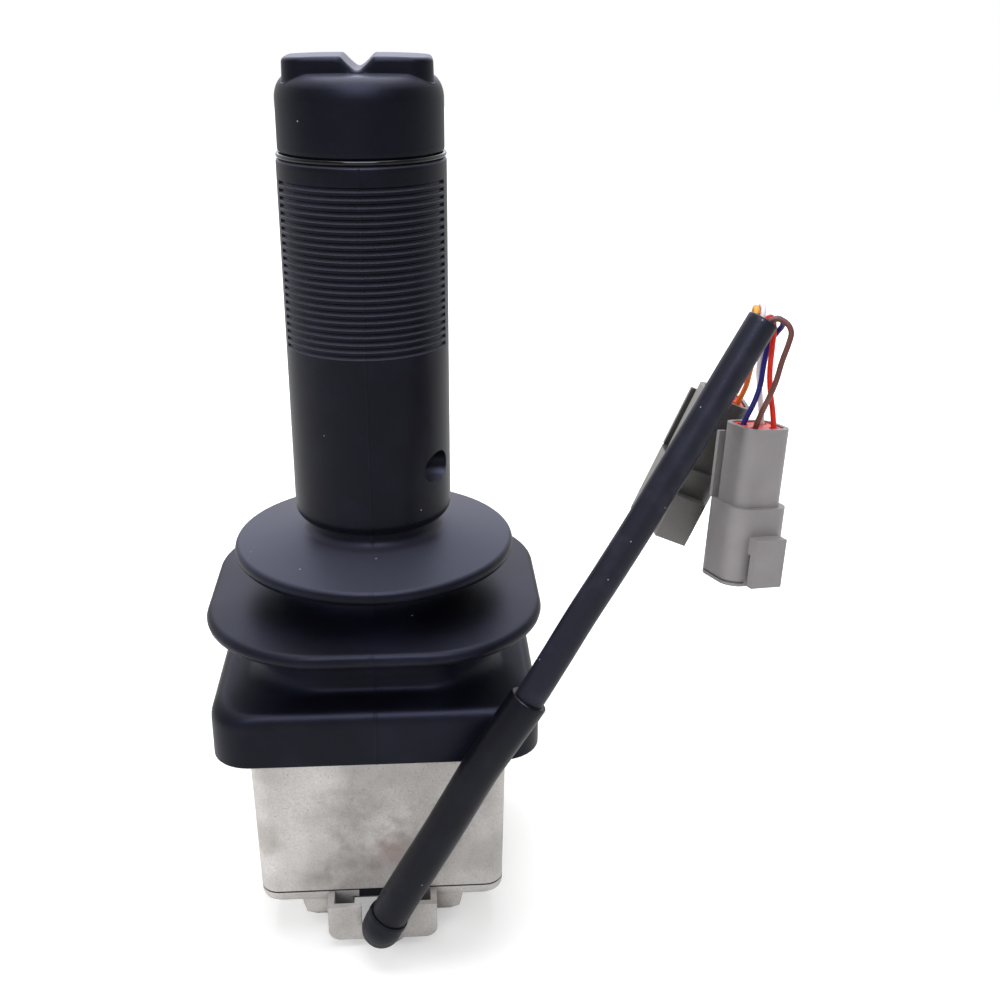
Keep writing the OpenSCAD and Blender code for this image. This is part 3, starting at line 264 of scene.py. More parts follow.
# Sleeve: heat-shrink tube over the lower half of the cable, a little looser than the jacket.
# Its upper end is cut square and leaves a small step.
sleeve_r = 5.9 * mm
sleeve_length = length_of(curve_through(cable_route[:8], 12))
sleeve_rings = 90
sleeve_stations = np.r_[0, np.linspace(0, sleeve_length - 0.6 * mm, sleeve_rings),
                        sleeve_length - np.array([0.25, 0, 0]) * mm]
sleeve_end = np.array([0.06, 0.3, 1.2]) * mm
sleeve_radii = np.r_[jacket_r, np.full(sleeve_rings, sleeve_r), sleeve_r - sleeve_end]
sleeve = sweep("cable_shrink_tube", cable_path, sleeve_stations, sleeve_radii, 40, (0, 1, 0))
sleeve.data.materials.append(extruded_pvc("black_shrink_tube", "#08080e", "#12131a", 0.36))
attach(sleeve, "base")
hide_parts("cable_sleeve")

# Strain relief: moulded rubber collar that turns up out of the notch in the bottom cover,
# with the cable's tail behind it in the cover's recess.
collar_route = np.array([
    [0.8, -46.8, -61.8], [0, -49.4, -61.6], [-0.2, -51.8, -60.2], [0, -53.6, -58],
    [0.8, -55.5, -54.9], [2.5, -55.8, -51.5]]) * mm
tail_route = np.array([
    [5.2, -28.4, -62], [5.2, -34, -62], [5, -39, -62], [4, -43, -62], [2.4, -45.6, -62],
    [0.8, -47.2, -61.8]]) * mm
collar_r = 6.3 * mm
collar_path = curve_through(collar_route, 10)
collar_length = length_of(collar_path)
collar_s = np.linspace(0, collar_length, 60)
lip = np.exp(-((collar_s - collar_length + 1.2 * mm) / (0.9 * mm)) ** 2)
collar = sweep("strain_relief", collar_path, collar_s, collar_r + 0.15 * mm * lip, 40, (1, 0, 0))
tail_path = curve_through(tail_route, 10)
tail_rings = 50
tail_s = np.linspace(0, length_of(tail_path), tail_rings)
tail = sweep("cable_tail", tail_path, tail_s, np.full(tail_rings, jacket_r), 32, (1, 0, 0))
tail.data.materials.append(jacket_pvc)


def moulded_rubber(name, colour, bloom, roughness, specular, dust_and_toplight=0.0):
    """Moulded rubber: matt near-black with a faint paler bloom in patches, fine grain, dust specks and a
    pale film on what faces up, partly dust and partly painted light from above."""
    material, place = finish_of(name, roughness, specular=specular, tint="#e4e8ff")
    bloomed = patches(material, place, 22 * mm, 0.42, 0.72, 3.0)
    dust = specks(material, place, 5.5 * mm, 0.045, 0.22)
    # Pale film on upward faces: partly dust, partly painted light from above
    base = dust_and_painted_toplight(material, blended(material, bloomed, colour, bloom), "#40414f", 0.4, 0.95, dust_and_toplight, 42 * mm)
    shade(material, Base_Color=blended(material, dust, base, "#8f8f9c"))
    grain(material, patches(material, place, 0.5 * mm, 0.2, 0.8), 0.02 * mm)
    return material


collar.data.materials.append(moulded_rubber("strain_relief_rubber", "#0c0d12", "#16171d", 0.5, 0.2))
for piece in (collar, tail):
    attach(piece, "base")
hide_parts("cable_grommet")

# Leads: six thin PVC wires that leave the cable's cut end, turn over and drop into the two plugs.
# Four go to the front plug and two to the one behind it. Their routes are those of the CAD's wires.
lead_d = 1.6 * mm
lead_rings = 96
leads = {
    "blue": ("#26256e", "#3a38a8", [
        [111.5, -38.7, 130], [113, -38.1, 132], [114.3, -36.7, 132.7], [115.6, -35.3, 132.6],
        [117.3, -33.9, 131.6], [118, -32.1, 129.6], [117.3, -30.4, 127.5], [115.6, -30, 124.7],
        [114.7, -29.9, 121.2], [114, -30.5, 117], [113.2, -31.8, 112.2], [111.5, -33.2, 107.6],
        [109.5, -34.2, 103.8], [108, -34.9, 100.6]]),
    "brown": ("#66403a", "#8a5f55", [
        [110.1, -40.5, 130.8], [111.8, -40, 132.9], [113.8, -40.1, 133.6], [115.6, -40.5, 133.2],
        [117.1, -41.4, 131.9], [117.7, -42.1, 129.9], [117, -42.5, 126.8], [115.7, -42.4, 122],
        [114.5, -42.2, 116], [112.7, -41.8, 110.4], [111, -41.1, 105.2], [110, -40.6, 101]]),
    "red": ("#dc2f1d", "#f04a34", [
        [110.2, -37, 130], [111.7, -36.3, 132.2], [113.1, -35, 132.8], [114.2, -33.8, 132.5],
        [115, -32.7, 131.6], [115.6, -31.8, 129.9], [115.8, -31.8, 127.2], [115.4, -32.8, 122.6],
        [115.1, -33.6, 117], [115.3, -35, 111.4], [116, -36.9, 105.8], [116.4, -38.3, 100.4]]),
    "white": ("#ddd3d8", "#efeaf0", [
        [109, -38.7, 130.8], [110.2, -38.1, 133.1], [110.9, -36.8, 134.8], [111.3, -34.6, 135.9],
        [111.4, -32.3, 135.7], [111.9, -30.1, 134.5], [112.6, -28.5, 132.3], [113.2, -27.7, 129.3],
        [114.3, -27.8, 125], [113.8, -28.1, 120], [113.3, -28.6, 115.6], [113.6, -29.8, 110.8],
        [114, -31.4, 105.4], [114.4, -32.7, 99.9]]),
    "orange": ("#c9672a", "#e8904a", [
        [108.4, -36.7, 131], [110, -35.7, 133.4], [111.2, -34.1, 133.9], [111.9, -32.7, 133.6],
        [112.1, -31.2, 132.6], [112, -30, 130.8], [112, -29.6, 128.3], [111.5, -28.5, 124.3],
        [112, -26.6, 119.3], [112, -23.9, 113.7], [112, -21.2, 108.8], [111.2, -19.4, 104.9],
        [109.9, -18.9, 101.6]]),
    "yellow": ("#e09a3c", "#f0b858", [
        [107.2, -38.4, 131.7], [108.8, -37.4, 134.7], [109.3, -35.2, 135.6], [109.5, -33.1, 135.2],
        [109.7, -31.6, 133.8], [109.8, -30.4, 132.1], [109.8, -29.4, 130], [109.4, -28.3, 126.6],
        [109.4, -26.2, 121.7], [110.6, -23, 116.1], [111.4, -19, 110.6], [111.2, -15, 105.6],
        [109.9, -12.9, 101.8]])}
for lead, (colour, pale, points) in leads.items():
    route = np.array(points) * mm
    path = curve_through(route, 8)
    side = (0, 1, 0) if lead == "brown" else (1, 0, 0)
    length = length_of(path)
    stations = np.linspace(0, length, lead_rings)
    piece = sweep("lead_" + lead, path, stations, np.full(lead_rings, lead_d / 2), 16, side)
    piece.data.materials.append(extruded_pvc(lead + "_pvc", colour, pale, 0.35))
    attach(piece, "base")
    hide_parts("wire_" + lead)


# Housing: sand-cast aluminium box under the panel, pale and granular, with draft on its walls.
# Its edges are only as sharp as the casting leaves them.
def dressed(node, name, width):
    """Copy of a CAD node with its flat triangles joined and its sharp edges rounded to a width."""
    sharp = radians(35)
    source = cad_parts[node].data
    mesh = bpy.data.meshes.new(name)
    mesh.from_pydata([v.co[:] for v in source.vertices], [], [p.vertices[:] for p in source.polygons])
    work = bmesh.new()
    work.from_mesh(mesh)
    bmesh.ops.remove_doubles(work, verts=work.verts, dist=2e-6)
    bmesh.ops.dissolve_limit(work, angle_limit=radians(0.4), verts=work.verts, edges=work.edges)
    work.to_mesh(mesh)
    work.free()
    mesh.shade_smooth()
    mesh.set_sharp_from_angle(angle=sharp)
    piece = bpy.data.objects.new(name, mesh)
    bpy.context.scene.collection.objects.link(piece)
    soften = piece.modifiers.new("edges", "BEVEL")
    soften.width = width
    soften.segments = 3
    soften.limit_method = "ANGLE"
    soften.angle_limit = sharp
    soften.harden_normals = True
    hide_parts(node)
    return piece


def occlusion_shade(material, reach_out, open_at, shut_at):
    """0 in the open and 1 in corners and gaps, from how much of the sky within a reach is hidden: a mask
    for painted shade.
    """
    sky = add(material, "AmbientOcclusion", samples=8, Distance=reach_out)
    return add(material, "MapRange", Value=sky.outputs["AO"], From_Min=open_at, From_Max=shut_at).outputs[0]


def stain(material, place, centre, radius):
    """1 at a point, fading out to 0 about two radii away, with a ragged edge."""
    ragged = add(material, "TexNoise", Vector=place, Scale=1 / (5 * mm), Detail=5.0)
    away = add(material, "VectorMath", operation="DISTANCE", _0=place, _1=centre)
    shifted = add(material, "Math", operation="MULTIPLY_ADD", _0=ragged.outputs["Fac"], _1=radius * 3,
                  _2=away.outputs["Value"])
    return add(material, "MapRange", Value=shifted.outputs[0], From_Min=radius * 3.3,
               From_Max=radius * 1.3).outputs[0]


def sand_cast(name, stains):
    """Sand-cast aluminium: warm pale grey, dull, with a gritty skin, faint blotches, handling stains and
    painted shade in corners, gaps and recesses.
    """
    material, place = finish_of(name, 0.6, metallic=0.2)
    blotch = patches(material, place, 18 * mm, 0.35, 0.7, 3.0)
    grit = patches(material, place, 0.55 * mm, 0.34, 0.66, 3.0)
    pits = patches(material, place, 0.9 * mm, 0.6, 0.74, 4.0)
    colour = blended(material, blotch, "#b6b2af", "#d9d5d2")
    fine = add(material, "Math", operation="MULTIPLY", _0=grit, _1=0.3).outputs[0]
    colour = blended(material, fine, colour, "#8f8b85")
    deep = add(material, "Math", operation="MULTIPLY", _0=pits, _1=0.4).outputs[0]
    colour = blended(material, deep, colour, "#6f6b66")
    for centre, radius, tint, share in stains:
        mask = stain(material, place, centre, radius)
        mask = add(material, "Math", operation="MULTIPLY", _0=mask, _1=share).outputs[0]
        colour = blended(material, mask, colour, tint)
    # Painted shade: darker where corners and recesses hide the sky
    painted_shade = add(material, "Math", operation="MULTIPLY", _0=occlusion_shade(material, 9 * mm, 0.75, 0.25), _1=0.75)
    shade(material, Base_Color=blended(material, painted_shade.outputs[0], colour, "#55514c"))
    lumps = patches(material, place, 2.2 * mm, 0.2, 0.8)
    height = add(material, "Math", operation="MULTIPLY_ADD", _0=grit, _1=0.5, _2=lumps).outputs[0]
    grain(material, height, 0.06 * mm)
    return material


# Each stain: where it is, its radius, its colour and how much of it shows
front = -40 * mm
housing_stains = [
    ((-37 * mm, front, -34.6 * mm), 3.6 * mm, "#7b7062", 0.6),
    ((-7 * mm, front, -24 * mm), 9 * mm, "#75726c", 0.6),
    ((4 * mm, front, -40 * mm), 5 * mm, "#8f6f65", 0.6),
    ((-8 * mm, front, -46 * mm), 6 * mm, "#716c66", 0.65),
    ((-21 * mm, front, -50 * mm), 3.5 * mm, "#6c6761", 0.5),
    ((14 * mm, front, -33 * mm), 8 * mm, "#85817a", 0.5),
    ((29 * mm, front, -42 * mm), 9 * mm, "#8c8883", 0.4)]
cover_stain = ((-12 * mm, -48 * mm, -62 * mm), 5 * mm, "#86827b", 0.4)
housing = dressed("housing", "housing_casting", 0.5 * mm)
housing.data.materials.append(sand_cast("sand_cast_aluminium", housing_stains))
cover = dressed("bottom_cover", "cover_casting", 0.4 * mm)
cover.data.materials.append(sand_cast("sand_cast_cover", [cover_stain]))
for piece in (housing, cover):
    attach(piece, "base")


# Boot: one moulding of soft black rubber between the panel and the grip. A square skirt stands on
# the panel, with two flat flanges on narrow waists above it. A mould seam runs down the
# front and the back.
skirt_half, skirt_corner, skirt_h = 50 * mm, 12 * mm, 17.3 * mm
lower_half, lower_corner, lower_z = 52.4 * mm, 37 * mm, 36.4 * mm
lower_waist, lower_waist_corner = 37 * mm, 22.2 * mm
upper_r, upper_z = 44.4 * mm, 52.5 * mm
upper_waist = 29.5 * mm
neck_r, neck_top = 20 * mm, 62.6 * mm
rim = 1.85 * mm
wall = 2 * mm
tube_hole = 6.5 * mm


def filleted(points, cuts, steps):
    """Line through points with each corner replaced by a parabola that starts and ends a cut away."""
    points = np.asarray(points, float)
    out = [points[:1]]
    t = np.linspace(0, 1, steps)[:, None]
    for before, corner, after, cut in zip(points, points[1:], points[2:], cuts):
        start = corner + (before - corner) * min(1, cut / np.linalg.norm(before - corner))
        end = corner + (after - corner) * min(1, cut / np.linalg.norm(after - corner))
        out.append((1 - t) ** 2 * start + 2 * t * (1 - t) * corner + t ** 2 * end)
    return np.vstack(out + [points[-1:]])


def reach(turn, half_x, half_y, corner):
    """How far a ray from the middle goes before it leaves a rectangle with round corners."""
    x, y = np.abs(np.cos(turn)), np.abs(np.sin(turn))
    corner = np.minimum(corner, np.minimum(half_x, half_y))
    mx, my = half_x - corner, half_y - corner
    along = x * mx + y * my
    arc = along + np.sqrt(np.maximum(along ** 2 - mx ** 2 - my ** 2 + corner ** 2, 0))
    flat_x = half_x / np.maximum(x, 1e-9)
    flat_y = half_y / np.maximum(y, 1e-9)
    straight = np.where(flat_x * y <= my, flat_x, np.where(flat_y * x <= mx, flat_y, np.inf))
    return np.where(np.isfinite(straight), straight, arc)


def turns_with_seams(count):
    """Angles round the axis, with close ones on both sides of the seams at the front and the back."""
    near = np.array([-0.03, -0.018, -0.011, -0.007, -0.0035, 0, 0.0035, 0.007, 0.011, 0.018, 0.03])
    even = np.linspace(0, 2 * pi, count, endpoint=False)
    seams = np.array([0.5, 1.5]) * pi
    clear_of = np.min(np.abs(even[:, None] - seams[None, :]), axis=1) > 0.04
    return np.sort(np.r_[even[clear_of], (seams[:, None] + near[None, :]).ravel()])


# Each point of the section: half width, corner radius in plan and height, with its corner's cut
section = [
    (skirt_half, skirt_corner, 0, 0),
    (skirt_half, skirt_corner, skirt_h, 5 * mm),
    (lower_waist, lower_waist_corner, skirt_h + 0.8 * mm, 4.5 * mm),
    (lower_waist, lower_waist_corner, lower_z - 8 * mm, 4 * mm),
    (lower_half - 1 * mm, lower_corner - 1 * mm, lower_z - rim - 0.6 * mm, 1.4 * mm),
    (lower_half, lower_corner, lower_z - 1 * mm, 1.2 * mm),
    (lower_half, lower_corner, lower_z + rim, 2.2 * mm),
    (upper_waist, upper_waist, lower_z + rim + 2.4 * mm, 5 * mm),
    (upper_waist, upper_waist, upper_z - 6.2 * mm, 4 * mm),
    (upper_r - 1 * mm, upper_r, upper_z - rim - 0.6 * mm, 1.4 * mm),
    (upper_r, upper_r, upper_z - 1 * mm, 1.2 * mm),
    (upper_r, upper_r, upper_z + rim, 2.2 * mm),
    (neck_r, neck_r, upper_z + rim + 4.6 * mm, 4 * mm),
    (neck_r, neck_r, neck_top, 0.6 * mm),
    (tube_hole, neck_r, neck_top, 0)]
inside = [
    (tube_hole, neck_r, neck_top - wall), (neck_r - wall, neck_r, neck_top - wall),
    (neck_r + 2 * mm, neck_r, upper_z + rim + 2.4 * mm), (upper_r - 4 * mm, upper_r, upper_z + 0.3 * mm),
    (upper_r - 4 * mm, upper_r, upper_z - 0.3 * mm), (upper_waist - wall, upper_waist, upper_z - 6 * mm),
    (upper_waist - wall, upper_waist, lower_z + rim + 3 * mm),
    (lower_half - 4.5 * mm, lower_corner - 3 * mm, lower_z + 0.3 * mm),
    (lower_half - 4.5 * mm, lower_corner - 3 * mm, lower_z - 0.3 * mm),
    (lower_waist - wall, lower_waist_corner, lower_z - 8 * mm),
    (lower_waist - wall, lower_waist_corner, skirt_h + 1 * mm),
    (skirt_half - wall - 2 * mm, skirt_corner - wall, skirt_h - wall),
    (skirt_half - wall, skirt_corner - wall, skirt_h - wall - 2 * mm),
    (skirt_half - wall, skirt_corner - wall, 0)]
outer = filleted([p[:3] for p in section], [p[3] for p in section[1:-1]], 9)
seam_half = 0.4 * mm
seam_rise = 0.16 * mm
round_turns = turns_with_seams(220)


def boot_surface(outline, ridge):
    """Rings of rounded squares: each row of the outline is half width, corner radius and height. The
    ridge stands out where a ring crosses the plane of the seams."""
    half, corner, height = (outline[:, i, None] for i in range(3))
    far = reach(round_turns[None, :], half, half, corner)
    x, y = far * np.cos(round_turns), far * np.sin(round_turns)
    grown = 1 + ridge * np.exp(-(x / seam_half) ** 2) / far
    return np.stack([x * grown, y * grown, np.broadcast_to(height, x.shape)], -1)


boot_rows = np.vstack([boot_surface(outer, seam_rise), boot_surface(np.array(inside), 0)])
boot = skin("bellows_boot", boot_rows, loop=True)
# Its upward faces get a pale film, partly dust and partly painted light from above
boot_rubber = moulded_rubber("moulded_black_rubber", "#0b0b13", "#141622", 0.41, 0.15, 0.72)
boot.data.materials.append(boot_rubber)
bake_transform(boot)
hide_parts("boot")

# Grip: two shells of glass-filled nylon, screwed together on the seam plane. Each has half of the
# front and the back ribbed panel, and the right one has the counterbores of the two screws.
grip_r, grip_z, grip_top = 24.5 * mm, 63 * mm, 172.6 * mm
grip_inside = 21.9 * mm
grip_edge = 4 * mm
groove_top, groove_pitch, groove_count = 166.6 * mm, 2.14 * mm, 23
groove_depth, groove_half, groove_slope = 0.75 * mm, 0.28 * mm, 0.42 * mm
panel_half = radians(72)
counterbore_r, counterbore_y, counterbore_z, counterbore_x = 5 * mm, 13.3 * mm, 82 * mm, 11 * mm
boss_wall, boss_floor, boss_sunk, boss_play = 1.6 * mm, 2 * mm, 1.6 * mm, 0.05 * mm
stick_hole, foot_hollow, foot_floor = 6.1 * mm, 19.9 * mm, 3 * mm
seam_width, seam_flash = 0.2 * mm, 0.11 * mm
foot_steps = np.linspace(-pi / 2, 0, 12)
groove_zs = groove_top - groove_pitch * np.arange(groove_count)
fine = np.array([-1, -0.8, -0.55, -0.35, -0.12, 0.12, 0.35, 0.55, 0.8, 1]) * (groove_half + groove_slope)
levels = np.unique(np.round(np.r_[
    np.linspace(grip_z + grip_edge, groove_zs[-1] - 1 * mm, 24),
    (groove_zs[:, None] + fine[None, :]).ravel(), groove_zs + groove_pitch / 2,
    np.linspace(groove_top + 1 * mm, grip_top - 0.6 * mm, 5)], 7))


def grip_shell(name, side):
    """Half tube swept round the stick's axis. The outer wall follows the height, less a groove where a
    ribbed panel has one, with sloped sides, and a low ridge of flash runs along the seam."""
    ends = np.array([0, 0.4, 0.8, 1.2, 1.7, 2.5, 6]) * seam_width / grip_r
    panel_end = pi / 2 - panel_half
    edges = panel_end + np.array([-0.03, -0.004, 0.004, 0.03])
    even = np.linspace(-pi / 2 + 0.06, pi / 2 - 0.06, 90)
    half_turns = np.unique(np.round(np.r_[-pi / 2 + ends, -edges, even, edges, pi / 2 - ends], 6))
    turn = half_turns[:, None]
    foot = np.c_[grip_r - grip_edge + grip_edge * np.cos(foot_steps),
                 grip_z + grip_edge * (1 + np.sin(foot_steps))]
    away = np.abs(levels[:, None] - groove_zs[None, :]).min(1)
    t = np.clip((groove_half + groove_slope - away) / groove_slope, 0, 1)
    groove = groove_depth * t * t * (3 - 2 * t)
    in_panel = np.abs(turn) > panel_end
    wall_r = grip_r - groove[None, :] * in_panel
    top = np.array([
        (grip_r - 0.15 * mm, grip_top - 0.25 * mm), (grip_r - 0.5 * mm, grip_top), (grip_inside, grip_top),
        (grip_inside, grip_z + foot_floor + 2 * mm), (foot_hollow, grip_z + foot_floor),
        (stick_hole, grip_z + foot_floor), (stick_hole, grip_z)])
    spread = lambda pairs, i: np.broadcast_to(pairs[None, :, i], (len(half_turns), len(pairs)))
    radius = np.concatenate([spread(foot, 0), wall_r, spread(top, 0)], 1)
    height = np.concatenate([spread(foot, 1), np.broadcast_to(levels, wall_r.shape), spread(top, 1)], 1)
    from_seam = (pi / 2 - np.abs(turn)) * grip_r
    flash = seam_flash * np.exp(-(from_seam / seam_width) ** 2)
    outside = radius > grip_inside + 0.5 * mm
    radius = radius + flash * outside
    rows = np.stack([side * radius * np.cos(turn), radius * np.sin(turn), height], -1)
    return skin(name, rows.transpose(1, 0, 2), ring=False, loop=True)


def bored(piece, cutters):
    """The piece with closed cutters taken out of it, by an exact boolean that is applied."""
    for cutter in cutters:
        cut = piece.modifiers.new("bore", "BOOLEAN")
        cut.operation = "DIFFERENCE"
        cut.solver = "EXACT"
        cut.object = cutter
        solved = piece.evaluated_get(bpy.context.evaluated_depsgraph_get())
        result = bpy.data.meshes.new_from_object(solved)
        piece.modifiers.clear()
        piece.data = result
        bpy.data.objects.remove(cutter)
    piece.data.shade_smooth()
    piece.data.set_sharp_from_angle(angle=crease)
    return piece


def counterbore(y):
    """Round cutter along X from the screw's seat out past the grip."""
    past_grip = grip_r + 3 * mm
    path = np.array([[counterbore_x, y, counterbore_z], [past_grip, y, counterbore_z]])
    ends = np.array([0, past_grip - counterbore_x])
    return sweep("cutter", path, ends, np.full(2, counterbore_r), 64, (0, 1, 0))


def screw_boss(name, y):
    """Cup round a counterbore: a floor under the screw's head, and a wall that ends inside the shell,
    where x is the root of a radius squared less y squared."""
    turn = np.linspace(0, 2 * pi, 64, endpoint=False)
    across, up = np.cos(turn), np.sin(turn)
    ring_at = lambda r, x: np.stack([x + 0 * turn, y + r * across, counterbore_z + r * up], -1)
    in_shell = lambda r: np.sqrt((grip_r - boss_sunk) ** 2 - (y + r * across) ** 2)
    bore, outer = counterbore_r + boss_play, counterbore_r + boss_wall
    back = counterbore_x - boss_floor
    return skin(name, np.stack([
        ring_at(0, back), ring_at(outer, back), ring_at(outer, in_shell(outer)),
        ring_at(bore, in_shell(bore)), ring_at(bore, counterbore_x), ring_at(0, counterbore_x)]))


def moulded_nylon(name, colour, rubbed):
    """Moulded nylon: deep blue-black, smoother than rubber, with rubbed patches, fine scuffs and a pale
    film on what faces up, partly dust and partly painted light from above.
    """
    material, place = finish_of(name, 0.36, specular=0.14, tint="#e4e6ff")
    worn = patches(material, place, 12 * mm, 0.5, 0.8, 3.0)
    dust = specks(material, place, 7 * mm, 0.035, 0.2)
    # Pale film on upward faces: partly dust, partly painted light from above
    base = dust_and_painted_toplight(material, blended(material, worn, colour, rubbed), "#474855", 0.3, 0.85, 0.9)
    shade(material, Base_Color=blended(material, dust, base, "#9b9ba5"))
    grain(material, patches(material, place, 0.7 * mm, 0.25, 0.75), 0.012 * mm)
    return material


nylon = moulded_nylon("black_nylon", "#0b0b12", "#12131c")
grip_left = grip_shell("grip_half_left", -1)
grip_right = grip_shell("grip_half_right", 1)
grip_right = bored(grip_right, [counterbore(-counterbore_y), counterbore(counterbore_y)])
for piece, node in ((grip_left, "grip_left"), (grip_right, "grip_right")):
    piece.data.materials.clear()
    piece.data.materials.append(nylon)
    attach(piece, "stick")
    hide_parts(node)
for name, y in (("front_screw_boss", -counterbore_y), ("back_screw_boss", counterbore_y)):
    boss = screw_boss(name, y)
    boss.data.materials.append(nylon)
    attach(boss, "stick")

# Bead ring: polished plastic ring held between the grip and the head, with a dark gap above and
# below. Its gloss gives thin light streaks on black.
bead_half = 0.7 * mm
bead_z = 173.7 * mm
bead_arc = np.linspace(-pi / 2, pi / 2, 18)
bead_profile = np.vstack([
    np.c_[grip_r - bead_half + bead_half * np.cos(bead_arc), bead_z + bead_half * np.sin(bead_arc)],
    [(grip_inside, bead_z + bead_half), (grip_inside, bead_z - bead_half)]])


def turned(name, profile, count):
    """Solid of revolution: the closed profile of radius and height, turned about the stick's axis."""
    turn = np.linspace(0, 2 * pi, count, endpoint=False)
    r, z = profile[:, 0, None], profile[:, 1, None]
    return skin(name, np.stack([r * np.cos(turn), r * np.sin(turn), z + 0 * turn], -1), loop=True)


bead = turned("bead", bead_profile, 200)
bead_gloss, bead_place = finish_of("polished_black_plastic", 0.1, specular=0.26)
bead_cloud = patches(bead_gloss, bead_place, 6 * mm, 0.4, 0.7)
shade(bead_gloss, Base_Color=blended(bead_gloss, bead_cloud, "#07070b", "#0f1016"))
bead.data.materials.append(bead_gloss)
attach(bead, "stick")
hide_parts("bead_ring")

# Head: one soft rubber cap over the thumb rocker. Two pads stand on its domed shoulder with a
# notch between them.
cap_r, cap_z, cap_top, pad_top = 23.9 * mm, 174.8 * mm, 195.5 * mm, 200.7 * mm
cap_inside, cap_roof = 22.1 * mm, 2 * mm
shoulder_w, shoulder_h = 4.8 * mm, 6.6 * mm
pad_x, pad_y, pad_corner = 20.9 * mm, 13.2 * mm, 7 * mm
pad_edge, pad_lean, pad_fillet = 1.5 * mm, 0.12 * mm, 0.5 * mm
notch_low, notch_half, notch_round = 196.9 * mm, 4.1 * mm, 1.3 * mm
head_turns = np.linspace(0, 2 * pi, 480, endpoint=False)[None, :]


def shoulder_height(r):
    """Height of the domed shoulder at a radius: nearly flat inside, a quarter of an ellipse outside."""
    out = np.clip((r - (cap_r - shoulder_w)) / shoulder_w, 0, 1)
    crown = 0.5 * mm * (1 - (r / cap_r) ** 2)
    return cap_top - shoulder_h * (1 - np.sqrt(np.maximum(1 - out ** 2, 0))) + crown


def pads_height(x, y):
    """Height of the pads' tops: slightly crowned, with a notch of straight sides and a round bottom."""
    level_half = 0.25
    past = np.maximum(np.abs(x) / pad_x - level_half, 0)
    crown = pad_top - 0.9 * mm * past ** 2 - 0.25 * mm * (y / pad_y) ** 2
    side = (pad_top - notch_low) / (notch_half - notch_round * 0.4)
    notch = notch_low + side * (np.sqrt(x ** 2 + notch_round ** 2) - notch_round)
    soft = 0.5 * mm
    low = np.minimum(crown, notch)
    near = np.maximum(soft - np.abs(crown - notch), 0) / soft
    return low - near ** 2 * soft / 4


def head_surface():
    """Rows from the middle of the pads out over their edge, down to the shoulder and down the side."""
    pad_reach = reach(head_turns, pad_x, pad_y, pad_corner)
    step = lambda n: np.linspace(0, 1, n)[:, None]
    drop = step(14) * pi / 2
    inner = step(56) ** 0.9 * (pad_reach - pad_edge)
    rows_r = [inner, pad_reach - pad_edge + pad_edge * np.sin(drop)]
    x = lambda r: r * np.cos(head_turns)
    y = lambda r: r * np.sin(head_turns)
    foot_z = shoulder_height(pad_reach + pad_fillet)
    edge_top = pads_height(x(pad_reach - pad_edge), y(pad_reach - pad_edge))
    fall = np.minimum(pad_edge, (edge_top - foot_z) * 0.8)
    rows_z = [pads_height(x(inner), y(inner)), edge_top - fall * (1 - np.cos(drop))]
    s = step(8)[1:]
    rows_r.append(pad_reach + pad_lean * s)
    rows_z.append(edge_top - fall + (foot_z + pad_fillet - edge_top + fall) * s)
    turn_out = step(7)[1:] * pi / 2
    rows_r.append(pad_reach + pad_lean + pad_fillet * (1 - np.cos(turn_out)))
    rows_z.append(foot_z + pad_fillet * (1 - np.sin(turn_out)))
    start = pad_reach + pad_lean + pad_fillet
    angle0 = np.arcsin(np.clip((start - (cap_r - shoulder_w)) / shoulder_w, 0, 1))
    flat = np.maximum(cap_r - shoulder_w, start)
    out = step(10)[1:]
    rows_r.append(start + (flat - start) * out)
    rows_z.append(shoulder_height(start + (flat - start) * out))
    arc = angle0 + (pi / 2 - angle0) * step(22)[1:]
    rows_r.append(cap_r - shoulder_w + shoulder_w * np.sin(arc))
    rows_z.append(shoulder_height(cap_r - shoulder_w + shoulder_w * np.sin(arc)))
    side_z = np.linspace(cap_top - shoulder_h - 0.6 * mm, cap_z + 0.5 * mm, 12)[:, None]
    rows_r.append(cap_r + 0 * side_z * head_turns)
    rows_z.append(side_z + 0 * head_turns)
    under = np.array([
        (cap_r - 0.1 * mm, cap_z + 0.15 * mm), (cap_r - 0.5 * mm, cap_z), (cap_inside, cap_z),
        (cap_inside, cap_top - shoulder_h), (16 * mm, cap_top - cap_roof), (2 * mm, cap_top - cap_roof)])
    rows_r.append(under[:, :1] + 0 * head_turns)
    rows_z.append(under[:, 1:] + 0 * head_turns)
    r = np.vstack([part + 0 * head_turns for part in rows_r])
    z = np.vstack([part + 0 * head_turns for part in rows_z])
    return np.stack([x(r), y(r), z], -1)


head = skin("rubber_head", head_surface())
# Its upward faces get a pale film, partly dust and partly painted light from above, which paints the
# shoulder highlight
head.data.materials.append(moulded_rubber("soft_cap_rubber", "#080910", "#0f1119", 0.42, 0.13, 0.8))
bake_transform(head)
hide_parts("head_cap", "thumb_rocker")


# Plugs: two sealed four-way connectors of grey glass-filled nylon, each with a silicone wire seal at
# the back and a black wedge in its mouth.
def moulded_grey(name, colour, pale, painted_shade_share):
    """Moulded grey nylon: satin and even, with faint paler flow marks, a very fine grain and a share of
    painted shade where other pieces stand close."""
    material, place = finish_of(name, 0.42, specular=0.4)
    mottle = patches(material, place, 9 * mm, 0.3, 0.75)
    # Painted shade: darker where other pieces stand close
    painted_shade = add(material, "Math", operation="MULTIPLY", _0=occlusion_shade(material, 30 * mm, 0.9, 0.5), _1=painted_shade_share)
    even = blended(material, mottle, colour, pale)
    shade(material, Base_Color=blended(material, painted_shade.outputs[0], even, "#1f1e1d"))
    grain(material, patches(material, place, 0.4 * mm, 0.2, 0.8), 0.006 * mm)
    return material


